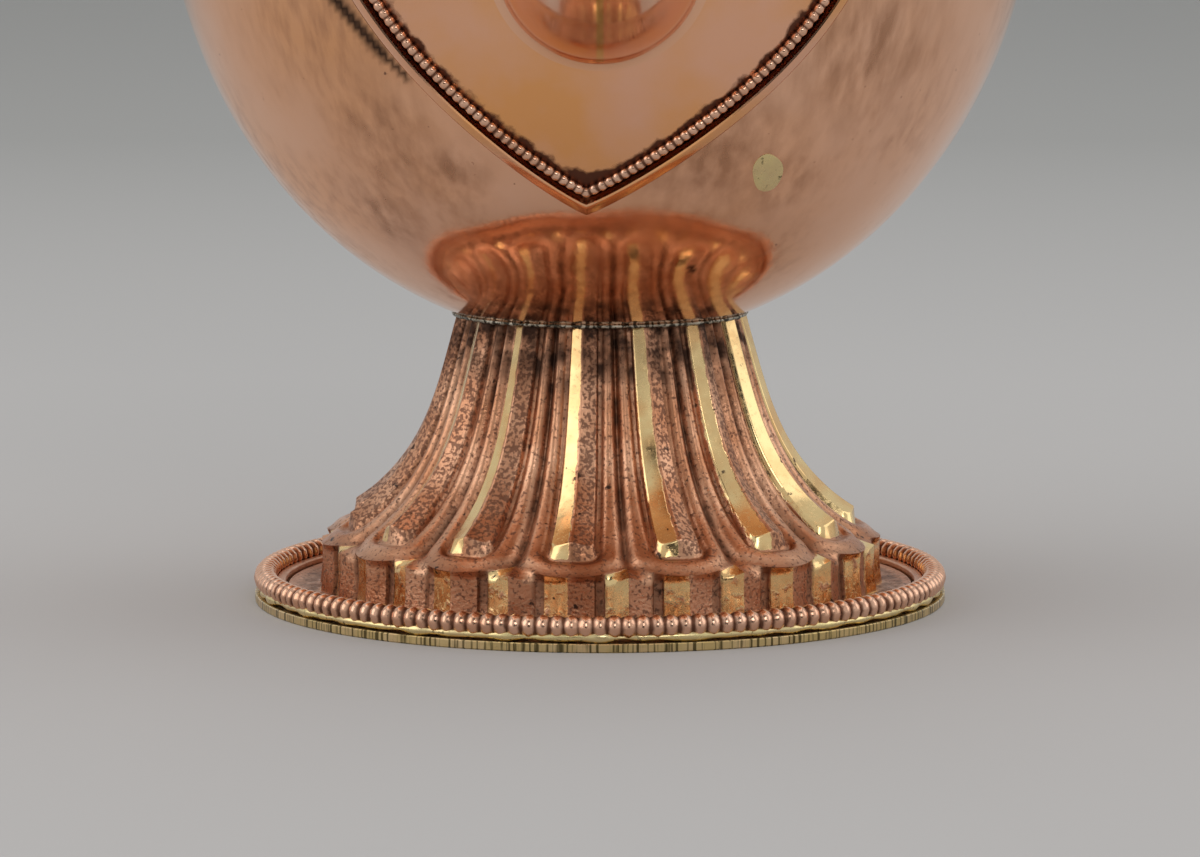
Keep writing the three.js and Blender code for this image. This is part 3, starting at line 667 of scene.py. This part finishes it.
# %% Make the finish of the foot
def worn_copper(name, worn=True):
    """Pitted brown copper, a bright yellow metal where it is worn, and grime in the hollows."""
    m = blank(name)
    tone = mix(m, span(m, cloud(m, 160, 6), 0.35, 0.68), (0.52, 0.23, 0.12), (0.76, 0.42, 0.26))
    rough = span(m, cloud(m, 900, 5), 0.3, 0.7, 0.26, 0.42)
    grain = cloud(m, 2600, 3)
    if worn:
        more_holes = work_out(m, "MULTIPLY", mark(m, "pitted"), 0.11)
        holes = span(m, work_out(m, "ADD", cloud(m, 2100, 3), more_holes), 0.60, 0.70)
        tone = mix(m, work_out(m, "MULTIPLY", holes, 0.7), tone, (0.12, 0.055, 0.04))
        rough = work_out(m, "ADD", rough, work_out(m, "MULTIPLY", holes, 0.15))
        uneven = span(m, cloud(m, 700, 5), 0.25, 0.75, -0.42, 0.32)
        shine = span(m, work_out(m, "ADD", mark(m, "bright"), uneven), 0.38, 0.62)
        gold = mix(m, span(m, cloud(m, 240, 3), 0.4, 0.62), (0.93, 0.68, 0.33), (0.86, 0.54, 0.24))
        tone = mix(m, shine, tone, gold)
        rough = work_out(m, "SUBTRACT", rough, work_out(m, "MULTIPLY", shine, 0.17))
        grain = work_out(m, "MULTIPLY", grain, work_out(m, "SUBTRACT", 1.05, shine))
        soot = work_out(m, "MULTIPLY", mark(m, "grime"), span(m, cloud(m, 420, 6), 0.25, 0.6))
        tone = mix(m, soot, tone, (0.075, 0.04, 0.028))
        rough = work_out(m, "ADD", rough, work_out(m, "MULTIPLY", soot, 0.25))
    speck = span(m, cloud(m, 620, 4), 0.67, 0.72)
    tone = mix(m, speck, tone, (0.07, 0.04, 0.03))
    return metal(m, tone, rough, relief(m, grain, 0.00006))


foot_copper = worn_copper("foot_copper")
plain_worn_copper = worn_copper("plain_worn_copper", worn=False)
foot = piece("lotus_foot", foot_grid, marks=foot_marks(), sharp=50)
seat(foot, foot_copper, "pitted_copper", "lotus_foot_shell")

# %% [markdown]
# ## Solder and brass
# A dirty grey seam of solder joins foot and bowl, and a pale yellow bed of brazing holds the rim's
# wire. Both are ropes of metal that ran unevenly, so a ring's section swells and shrinks.


# %% Make brass and solder
FILED = (1, 1, 0.03)


def plain_metal(name, first, second, roughness, dirt, scale=1300, lines=(1, 1, 1), depth=0.00004):
    """Two tones in small clouds, dirt above a level, and relief that can be drawn into file marks."""
    m = blank(name)
    tone = mix(m, span(m, cloud(m, 260, 5), 0.36, 0.66), first, second)
    dark = span(m, cloud(m, scale, 3, lines), dirt, dirt + 0.10)
    tone = mix(m, dark, tone, tuple(0.22 * c for c in first))
    rough = span(m, cloud(m, 500, 4), 0.3, 0.7, roughness - 0.07, roughness + 0.1)
    return metal(m, tone, rough, relief(m, cloud(m, scale, 3, lines), depth))


filed_brass = plain_metal("filed_brass", (0.66, 0.50, 0.22), (0.78, 0.58, 0.32), 0.34, 0.50, 2300, FILED)
pale_brass = plain_metal("pale_brass", (0.86, 0.70, 0.34), (0.78, 0.60, 0.32), 0.28, 0.62)
grey_solder = plain_metal("grey_solder", (0.30, 0.27, 0.21), (0.72, 0.68, 0.56), 0.42, 0.46, 2000)


# %% Lay the ropes of solder
def uneven_ring(radius, height, thick, seed, columns=480, sides=12):
    """A ring whose section swells with a sum of a few sine waves round it."""
    wave = np.random.default_rng(seed)
    angle = np.linspace(0, 2 * np.pi, columns, endpoint=False)[:, None]
    turn = np.linspace(0, 2 * np.pi, sides, endpoint=False)
    counts, phases = wave.integers(5, 70, 9), wave.uniform(0, 6.28, 9)
    swell = 1 + 0.09 * np.sum(np.sin(angle * counts + phases), axis=1, keepdims=True)
    out = radius + thick * swell * np.cos(turn)
    up = height + thick * swell * np.sin(turn)
    return np.stack([out * np.sin(angle), -out * np.cos(angle), up], -1)


SEAM_THICK, BED_THICK = 0.27, 0.52

wire_lo, wire_hi = lowest_highest("rim_milled_wire")
foot_seam = piece("foot_seam", uneven_ring(
    FOOT_TOP_RADIUS + 0.02, FOOT_TOP_Z + 0.12, SEAM_THICK, seed=4,
))
seat(foot_seam, grey_solder, "grey_solder", "foot_solder_ring")
rim_bed = piece("rim_solder_bed", uneven_ring(
    wire_hi[0] - 0.95, wire_lo[2] + 0.25, BED_THICK, seed=8,
))
seat(rim_bed, pale_brass, "yellow_brass")

# %% [markdown]
# ## The base
# A flat brass disc closes the foot. Its edge was filed upright by hand. A plain ledge lies inside
# the milled wire.

# %% Make the disc and the ledge
DISC_RADIUS, DISC_TOP = lowest_highest("base_disc")[1][[0, 2]]
ledge_lo, ledge_hi = lowest_highest("rim_ledge_ring")
LEDGE_WIDTH = 1.3


def rounded_ring(inner, outer, low, high, corner=0.25):
    """A closed section with its two upper corners cut round."""
    bend = np.linspace(0, np.pi / 2, 5)
    across, up = corner * (1 - np.cos(bend)), corner * (1 - np.sin(bend))
    right = np.stack([outer - across, high - up], -1)
    left = np.stack([inner + up, high - across], -1)
    return np.vstack([[[inner, low], [outer, low]], right, left])


base_profile = [
    [0, 0], [30, 0], [DISC_RADIUS - 0.15, 0], [DISC_RADIUS, 0.15],
    [DISC_RADIUS, DISC_TOP - 0.12], [DISC_RADIUS - 0.12, DISC_TOP], [30, DISC_TOP], [0, DISC_TOP],
]
base_disc = piece("base_plate", turned(base_profile, 256), close_rows=False)
seat(base_disc, filed_brass, "yellow_brass", "base_disc")
ledge = piece("rim_ledge", turned(rounded_ring(
    ledge_hi[0] - LEDGE_WIDTH, ledge_hi[0], ledge_lo[2], ledge_hi[2],
)))
seat(ledge, plain_worn_copper, "pitted_copper", "rim_ledge_ring")

# %% [markdown]
# ## Milled wires
# A milled wire was rolled between dies until it looks like a string of beads. It follows a closed
# path, and its radius follows the beads: full in the middle of each and thin between two. A mark
# carries the same wave, so that the finish is dark between the beads.


# %% Carry a beaded section along a path
def beaded(path, out, radius, beads, sides=12, waist=0.24):
    """The radius falls from a bead's middle to its waist with a power of the cosine."""
    along = np.roll(path, -1, 0) - np.roll(path, 1, 0)
    along /= np.linalg.norm(along, axis=1, keepdims=True)
    side = np.cross(along, out)
    side /= np.linalg.norm(side, axis=1, keepdims=True)
    up = np.cross(side, along)
    place_in_bead = np.arange(len(path)) * beads / len(path)
    crest = np.abs(np.cos(np.pi * place_in_bead)) ** 1.3
    thick = (radius * (1 - waist * (1 - crest)))[:, None, None]
    turn = np.linspace(0, 2 * np.pi, sides, endpoint=False)[None, :, None]
    grid = path[:, None] + thick * (np.cos(turn) * up[:, None] + np.sin(turn) * side[:, None])
    return grid, {"crest": np.repeat(crest[:, None], sides, axis=1)}


def circle_path(radius, height, count):
    """A level circle, and the upward direction at each of its points."""
    angle = np.linspace(0, 2 * np.pi, count, endpoint=False)
    path = np.stack([radius * np.sin(angle), -radius * np.cos(angle), np.full(count, height)], -1)
    return path, np.tile([0.0, 0.0, 1.0], (count, 1))


# %% Make the finish of milled wire
def milled_copper(name):
    """Bright copper on the beads, dark dirt in the waists."""
    m = blank(name)
    tone = mix(m, span(m, cloud(m, 120, 5), 0.36, 0.66), (0.76, 0.42, 0.27), (0.88, 0.54, 0.38))
    uneven = span(m, cloud(m, 500, 4), 0.3, 0.7, -0.25, 0.25)
    dirt = work_out(m, "ADD", work_out(m, "SUBTRACT", 1.0, mark(m, "crest")), uneven)
    dirt = span(m, dirt, 0.35, 0.85)
    tone = mix(m, dirt, tone, (0.17, 0.075, 0.045))
    rough = span(m, dirt, 0.0, 1.0, 0.20, 0.45)
    return metal(m, tone, rough, relief(m, cloud(m, 1600, 3), 0.00004))


wire_copper = milled_copper("wire_copper")


# %% Lay the level wires
def level_wire(name, node, thick, pitch):
    """A beaded circle in the place of a packed ring, with beads a pitch apart."""
    low, high = lowest_highest(node)
    radius = (high[0] - low[0]) / 2 - thick
    beads = round(2 * np.pi * radius / pitch)
    path, out = circle_path(radius, low[2] + thick * 0.96, beads * 10)
    grid, marks = beaded(path, out, thick, beads)
    made = piece(name, grid, marks=marks)
    return seat(made, wire_copper, "trim_copper", node)


level_wire("rim_wire", "rim_milled_wire", 1.5, 1.73)
level_wire("collar_wire", "collar_milled_wire", 1.2, 1.6)
level_wire("dish_wire", "dish_milled_wire", 1.3, 1.7)
level_wire("mouth_wire", "mouth_milled_wire", 1.1, 1.5)

# %% [markdown]
# ## The leaf-shaped plate
# A plate in the shape of a pointed leaf is laid on the bowl under the spout. Its edge is a raised
# bevel, a dark groove follows, and then the milled wire. Rings of points run from the spout's root
# out to that outline, each lifted off the bowl's skin by its own height.

# %% Outline of the leaf
LEAF_TIP_Z, LEAF_TOP_Z = 53.9, 139.0
LEAF_WIDEST_Z = 100.0
LEAF_HALF_WIDTH = 38.1
LEAF_ROUNDNESS = 0.88
LEAF_LEAN, LEAN_HEIGHT = -1.6, 24
SPOUT_Z = 85.0
ROOT_RADIUS = 11.6


def leaf(inset, turn):
    """Half the leaf's width is the sine of a power of the way from the nearer tip to the widest
    place; the lower tip leans a little to one side."""
    tip, top = LEAF_TIP_Z + inset, LEAF_TOP_Z - inset
    height = tip + (top - tip) * (1 - np.cos(turn)) / 2
    start = np.where(height < LEAF_WIDEST_Z, tip, top)
    share = np.clip((height - start) / (LEAF_WIDEST_Z - start), 0, 1)
    half = (LEAF_HALF_WIDTH - inset) * np.sin(np.pi / 2 * share**LEAF_ROUNDNESS)
    lean = LEAF_LEAN * np.clip(1 - (height - tip) / LEAN_HEIGHT, 0, 1) ** 2
    return np.sign(np.sin(turn)) * half + lean, height


def leaf_ring(share, inset, lift, turn):
    """A ring between the spout's root and the leaf's outline."""
    edge_around, edge_height = leaf(inset, turn)
    bore = ROOT_RADIUS - 1.5
    around = (1 - share) * bore * np.sin(turn) + share * edge_around
    height = (1 - share) * (SPOUT_Z - bore * np.cos(turn)) + share * edge_height
    return on_bowl(around, height, lift)


# %% Raise the plate
PANEL_LIFT, BACK_LIFT = 1.1, 0.15
PANEL_INSET = 2.6
PANEL_ROWS, GROOVE_ROWS = 36, 4
PLATE_EDGE = [
    (2.5, 1.05), (2.35, 0.7), (2.1, 0.65), (2.0, 0.8), (1.92, 1.5), (1.84, 1.82), (1.65, 1.95),
    (1.4, 1.9), (0.35, 1.35), (0.12, 1.22), (0.0, 1.0), (0.0, 0.3), (0.3, 0.15),
]
turn = np.linspace(0, 2 * np.pi, 288, endpoint=False)
panel_shares = np.linspace(0, 1, PANEL_ROWS)
panel = [leaf_ring(s, PANEL_INSET, PANEL_LIFT, turn) for s in panel_shares]
edge = [leaf_ring(1, inset, lift, turn) for inset, lift in PLATE_EDGE]
back = [leaf_ring(s, PANEL_INSET, BACK_LIFT, turn) for s in np.linspace(1, 0, 12)]
plate_grid = np.stack(panel + edge + back)
near_wire = np.zeros(plate_grid.shape[:2])
near_wire[:PANEL_ROWS] = ease(0.78, 0.97, panel_shares)[:, None]
near_wire[PANEL_ROWS:PANEL_ROWS + GROOVE_ROWS] = 1.0


# %% Finish of the plate
def panel_copper(name):
    """Polished copper with warm patches, and a ragged band of brown tarnish beside the wire."""
    m = blank(name)
    tone = mix(m, span(m, cloud(m, 60, 5), 0.38, 0.62), (0.92, 0.50, 0.32), (0.92, 0.44, 0.17))
    uneven = span(m, cloud(m, 420, 6), 0.25, 0.75, -0.38, 0.38)
    tarnish = span(m, work_out(m, "ADD", mark(m, "near_wire"), uneven), 0.45, 0.72)
    tone = mix(m, tarnish, tone, (0.13, 0.05, 0.03))
    even = span(m, cloud(m, 90, 5), 0.3, 0.7, 0.12, 0.24)
    rough = work_out(m, "ADD", even, work_out(m, "MULTIPLY", tarnish, 0.2))
    hammer = relief(m, cloud(m, 60, 1), 0.0004)
    return metal(m, tone, rough, relief(m, cloud(m, 800, 3), 0.00001, hammer))


plate = piece("leaf_plate", plate_grid, marks={"near_wire": near_wire})
seat(plate, panel_copper("panel_copper"), "polished_copper", "spout_plate")

# %% Lay the wire of the plate
PLATE_WIRE_INSET = 3.2
PLATE_WIRE = 0.68
PLATE_WIRE_PITCH = 1.1


def even_steps(path, count):
    """The same closed path with its points at equal distances, and its length."""
    loop = np.vstack([path, path[:1]])
    length = np.concatenate([[0], np.cumsum(np.linalg.norm(np.diff(loop, axis=0), axis=1))])
    at = np.linspace(0, length[-1], count, endpoint=False)
    return np.stack([np.interp(at, length, loop[:, k]) for k in range(3)], -1), length[-1]


fine = np.linspace(0, 2 * np.pi, 1440, endpoint=False)
wire_line = on_bowl(*leaf(PLATE_WIRE_INSET, fine), PANEL_LIFT + 0.35)
wire_beads = round(even_steps(wire_line, 10)[1] / PLATE_WIRE_PITCH)
wire_path = even_steps(wire_line, wire_beads * 8)[0]
wire_out = (wire_path - [0, 0, BOWL_Z]) / np.array([BOWL_RADIUS, BOWL_RADIUS, BOWL_DROP]) ** 2
wire_grid, wire_marks = beaded(wire_path, wire_out, PLATE_WIRE, wire_beads, sides=10)
plate_wire = piece("plate_wire", wire_grid, marks=wire_marks)
seat(plate_wire, wire_copper, "trim_copper", "plate_milled_wire")
print("beads on the plate:", wire_beads)

# %% [markdown]
# ## The spout
# The spout is a sheet rolled into a tube, with a brazed seam along its underside. It leaves the
# plate level, turns up in a swan's neck and tapers. Only its root is in the photograph, so the
# rest follows what such vases have. Circles are carried along a smooth curve through six points,
# and cubic curves flare from the first of them down to the plate.

# %% Line of the spout
SPOUT_TOP_Z = 184.0
SPOUT_REACH = 95.0
SPOUT_TIP_RADIUS = 5.0
SPOUT_WAIST_RADIUS = 6.2
SPOUT_WAIST_SHARE = 0.667
SPOUT_WALL = 1.0


def curve_through(points, steps):
    """Each stretch is a cubic whose slope at a point is half the step between its neighbours."""
    p = np.vstack([2 * points[0] - points[1], points, 2 * points[-1] - points[-2]])
    t = np.linspace(0, 1, steps, endpoint=False)[:, None]
    stretches = [
        0.5 * (2 * b + (c - a) * t + (2 * a - 5 * b + 4 * c - d) * t**2 + (3 * b - a - 3 * c + d) * t**3)
        for a, b, c, d in zip(p, p[1:], p[2:], p[3:])
    ]
    return np.vstack([*stretches, points[-1:]])


out_share = np.array([0.0, 0.42, 0.70, 0.84, 0.92, 1.0])
spout_heights = [SPOUT_Z + 0.5, SPOUT_Z + 7] + [
    SPOUT_Z + share * (SPOUT_TOP_Z - SPOUT_Z) for share in (0.22, 0.42, 0.66, 1.0)
]
spout_out = BOWL_RADIUS + out_share * (SPOUT_REACH - BOWL_RADIUS)
spout_out[0] = BOWL_RADIUS + 3
spout_points = np.stack([0 * spout_out, -spout_out, spout_heights], -1)
spout_line = curve_through(spout_points, 24)

# %% Carry circles along the spout
CIRCLE = 96
FIRST_CIRCLE = 10


def spout_radius(share):
    """A quick taper past the root, then a slow one to the tip."""
    taper = np.sin(np.pi / 2 * np.clip(share * 1.5, 0, 1))
    quick = ROOT_RADIUS + (SPOUT_WAIST_RADIUS - ROOT_RADIUS) * taper
    past_waist = (share - SPOUT_WAIST_SHARE) * 3
    slow = SPOUT_WAIST_RADIUS + (SPOUT_TIP_RADIUS - SPOUT_WAIST_RADIUS) * past_waist
    return np.where(share < SPOUT_WAIST_SHARE, quick, slow)


def spout_circles(inset):
    """Circles square to the line, from the first one that stands clear of the bowl."""
    length = np.concatenate([[0], np.cumsum(np.linalg.norm(np.diff(spout_line, axis=0), axis=1))])
    share = length / length[-1]
    run = slopes(spout_line)
    down = np.stack([0 * share, -run[:, 2], run[:, 1]], -1)
    turn = np.linspace(0, 2 * np.pi, CIRCLE, endpoint=False)[None, :, None]
    radius = (spout_radius(share) - inset)[:, None, None]
    sideways = np.array([1.0, 0, 0])
    grid = spout_line[:, None] + radius * (np.sin(turn) * sideways + np.cos(turn) * down[:, None])
    return grid[FIRST_CIRCLE:]


def root_ring(radius, lift):
    """A circle round the root, lying on the bowl's skin."""
    turn = np.linspace(0, 2 * np.pi, CIRCLE, endpoint=False)
    return on_bowl(radius * np.sin(turn), SPOUT_Z - radius * np.cos(turn), lift)


def flare(first, second, start, end, count):
    """Rows on cubic curves that leave the first ring along start and meet the second along end."""
    t = np.linspace(0, 1, count + 2)[1:-1, None, None]
    leave = (2 * t**3 - 3 * t**2 + 1) * first + (t**3 - 2 * t**2 + t) * start
    return leave + (3 * t**2 - 2 * t**3) * second + (t**3 - t**2) * end


# Each pair is a ring's radius round the root and its lift off the bowl. The fillet's last ring
# leaves towards the pull's ring, and the bore's ring closes the wall under the plate.
ROOT_FILLET = ((13.4, 1.12), (12.7, 1.25), (12.1, 1.6), (11.7, 2.2))
ROOT_PULL = (11.45, 2.85)
ROOT_BORE = (9.5, 1.3)
FLARE_ROWS = 12

outer_circles, inner_circles = spout_circles(0), spout_circles(SPOUT_WALL)
roots = np.stack([root_ring(r, h) for r, h in ROOT_FILLET])
gap = np.linalg.norm(outer_circles[0] - roots[-1], axis=-1, keepdims=True)
pull = root_ring(*ROOT_PULL) - roots[-1]
pull *= gap / np.linalg.norm(pull, axis=-1, keepdims=True)
first_run = slopes(spout_line)[FIRST_CIRCLE] * gap
spout_grid = np.concatenate([
    roots, flare(roots[-1], outer_circles[0], pull, first_run, FLARE_ROWS), outer_circles,
    inner_circles[::-1], root_ring(*ROOT_BORE)[None],
])
column_turn = np.linspace(0, 2 * np.pi, CIRCLE, endpoint=False)
from_seam = ROOT_RADIUS * np.minimum(column_turn, 2 * np.pi - column_turn)
spout_seam = np.tile(from_seam, (len(spout_grid), 1))
spout_seam[:2] = ROOT_RADIUS


# %% Finish of the spout
def spout_copper(name):
    """Polished copper with the yellow line of the brazed seam."""
    m = blank(name)
    tone = mix(m, span(m, cloud(m, 30, 5), 0.36, 0.66), COPPER_PINK, COPPER_ORANGE)
    tone = mix(m, span(m, mark(m, "seam"), 0.55, 0.3), tone, (0.74, 0.66, 0.32))
    rough = span(m, cloud(m, 200, 5, (3, 1, 1)), 0.3, 0.7, 0.12, 0.24)
    return metal(m, tone, rough, relief(m, cloud(m, 60, 1), 0.0003))


spout = piece("spout", spout_grid, marks={"seam": spout_seam})
seat(spout, spout_copper("spout_copper"), "polished_copper", "spout_tube")

# %% Ring round the spout's mouth
LIP_WIRE = 1.0
LIP_BEADS, LIP_POINTS = 25, 200
tip_run = slopes(spout_line)[-1]
tip_turn = np.linspace(0, 2 * np.pi, LIP_POINTS, endpoint=False)[:, None]
tip_side = np.array([1.0, 0, 0])
tip_up = np.cross(tip_run, tip_side)
lip_circle = spout_line[-1] - LIP_WIRE * tip_run + (SPOUT_TIP_RADIUS + LIP_WIRE) * (
    np.cos(tip_turn) * tip_side + np.sin(tip_turn) * tip_up
)
lip_out = np.tile(tip_run, (LIP_POINTS, 1))
lip_grid, lip_marks = beaded(lip_circle, lip_out, LIP_WIRE, LIP_BEADS, sides=10)
spout_lip = piece("spout_lip", lip_grid, marks=lip_marks)
seat(spout_lip, wire_copper, "trim_copper", "spout_lip_wire")

# %% [markdown]
# ## The brass plug
# A small oval plug of brass closes a hole in the bowl. It is a lens of points laid on the skin and
# stands a hair proud of it.

# %% Set the plug
PLUG_ANGLE, PLUG_Z = 27.3, 58.2
PLUG_HALF_WIDTH, PLUG_HALF_HEIGHT = 2.1, 2.4


def lens(share, lift):
    """Ovals round the plug's middle, lifted by their own height."""
    turn = np.linspace(0, 2 * np.pi, 48, endpoint=False)
    bowl_here = BOWL_RADIUS * math.sqrt(1 - ((PLUG_Z - BOWL_Z) / BOWL_DROP) ** 2)
    middle = math.radians(PLUG_ANGLE) * bowl_here
    wobble = 1 + 0.03 * np.sin(3 * turn + 1) + 0.015 * np.sin(5 * turn)
    around = middle + share * PLUG_HALF_WIDTH * wobble * np.cos(turn)
    return on_bowl(around, PLUG_Z + share * PLUG_HALF_HEIGHT * wobble * np.sin(turn), lift)


plug_rings = [(0, 0.07), (0.5, 0.07), (0.9, 0.06), (1, 0.03), (1, -1.2), (0.5, -1.2), (0, -1.2)]
plug = piece("brass_plug", np.stack([lens(s, h) for s, h in plug_rings]), close_rows=False)
seat(plug, pale_brass, "yellow_brass", "bowl_plug")

# %% [markdown]
# ## Neck, dish and mouth
# Everything above the bowl lies outside the photograph. These pieces are turned from profiles that
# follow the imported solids: a waisted neck with a brass knop, a shallow dish that catches drips, and
# a flared mouth. A sheet's inner profile is the outer one, set in by its thickness.

# %% Turn the neck and the mouth
SHEET = 1.1
neck_lo, neck_hi = lowest_highest("neck_tube")
cup_lo, cup_hi = lowest_highest("mouth_cup")


def sheet_tube(radii, shares, low, high, lip):
    """A closed section: the smooth outer profile up, and the same set in on the way down."""
    outline = curve_through(np.stack([radii, low + np.array(shares) * (high - low)], -1), 10)
    inset = SHEET + lip * ease(0.9, 1.0, np.linspace(0, 1, len(outline)))
    inner = outline - np.stack([inset, 0 * inset], -1)
    return turned(np.vstack([outline, inner[::-1]]), 160)


neck = piece("neck", sheet_tube(
    [16.4, 15.0, 13.2, 12.4, 12.4, 13.2, 14.2], [0, 0.06, 0.16, 0.34, 0.62, 0.84, 1],
    neck_lo[2], neck_hi[2], 0,
))
seat(neck, top_copper, "polished_copper", "neck_tube")
mouth = piece("mouth", sheet_tube(
    [14.4, 13.2, 12.8, 13.86, 16.32, 19.4, 21.6], [0, 0.1, 0.26, 0.5, 0.76, 0.93, 1],
    cup_lo[2], cup_hi[2], SHEET,
))
seat(mouth, top_copper, "polished_copper", "mouth_cup")

# %% Turn the knop and the dish
knop_lo, knop_hi = lowest_highest("neck_knop")
dish_lo, dish_hi = lowest_highest("drip_dish")
KNOP_BORE, KNOP_NECK = 12.7, 13.8
knop_turn = np.linspace(-np.pi / 2, np.pi / 2, 24)
knop_mid, knop_tall = (knop_lo[2] + knop_hi[2]) / 2, (knop_hi[2] - knop_lo[2]) / 2
knop_out = KNOP_NECK + (knop_hi[0] - KNOP_NECK) * np.cos(knop_turn) ** 0.8
knop_profile = np.vstack([
    [[KNOP_BORE, knop_mid - knop_tall]],
    np.stack([knop_out, knop_mid + knop_tall * np.sin(knop_turn)], -1),
    [[KNOP_BORE, knop_mid + knop_tall]],
])
knop = piece("knop", turned(knop_profile, 160))
seat(knop, pale_brass, "yellow_brass", "neck_knop")
DISH_BORE, DISH_HUB = 13.1, 2.2
dish_low, dish_rim, dish_out = dish_lo[2], dish_hi[2], dish_hi[0]
dish_under = curve_through(np.array([
    [14.2, dish_low], [21.3, dish_low + 1.4], [29.4, dish_low + 3.8], [dish_out, dish_rim],
]), 8)
dish_over = curve_through(np.array([
    [dish_out - 2.6, dish_rim], [28.4, dish_low + 5.24], [20.3, dish_low + 2.84],
    [14.8, dish_low + DISH_HUB],
]), 8)
dish = piece("dish", turned(np.vstack([
    [[DISH_BORE, dish_low]], dish_under, dish_over, [[DISH_BORE, dish_low + DISH_HUB]],
]), 192))
seat(dish, top_copper, "polished_copper", "drip_dish")

# %% [markdown]
# ## The petal collar
# Small lotus petals lie on the shoulder round the neck. A ring of columns reaches further out in
# the middle of each petal, and is raised there too.

# %% Chase the collar
COLLAR_INNER, COLLAR_OUTER = 18.3, 28.5
COLLAR_LIFT = 0.45
collar_across = np.tile(half_petal, PETALS)
collar_angle = np.radians(PETAL_PHASE + (petal + collar_across / 2) * 360 / PETALS)
scallop = np.cos(np.pi / 2 * np.abs(collar_across)) ** 0.7


def on_shoulder(share, lift):
    """A ring on the shoulder, a share of the way from the neck to the petals' rims."""
    radius = COLLAR_INNER + share * (COLLAR_OUTER - 2.2 * (1 - scallop) - COLLAR_INNER)
    height = BOWL_Z + BOWL_RISE * np.sqrt(1 - (radius / BOWL_RADIUS) ** 2) + lift
    return np.stack([radius * np.sin(collar_angle), -radius * np.cos(collar_angle), height], -1)


def collar_lift(share):
    """Each petal is a low gable inside a border, and falls to its rim."""
    gable = 0.55 * (1 - np.abs(collar_across)) * np.sin(np.pi * min(share, 0.9))
    aside = np.abs(collar_across)
    border = 0.35 * ease(0.62, 0.72, aside + 0.3 * share) * ease(1.0, 0.9, aside)
    return COLLAR_LIFT + 1.0 + gable + border


collar_rings = [on_shoulder(s, collar_lift(s)) for s in np.linspace(0, 1, 14)]
collar_rings += [on_shoulder(s, COLLAR_LIFT) for s in (1, 0.5, 0)]
collar = piece("petal_collar", np.stack(collar_rings))
seat(collar, plain_worn_copper, "pitted_copper", "shoulder_petal_collar")
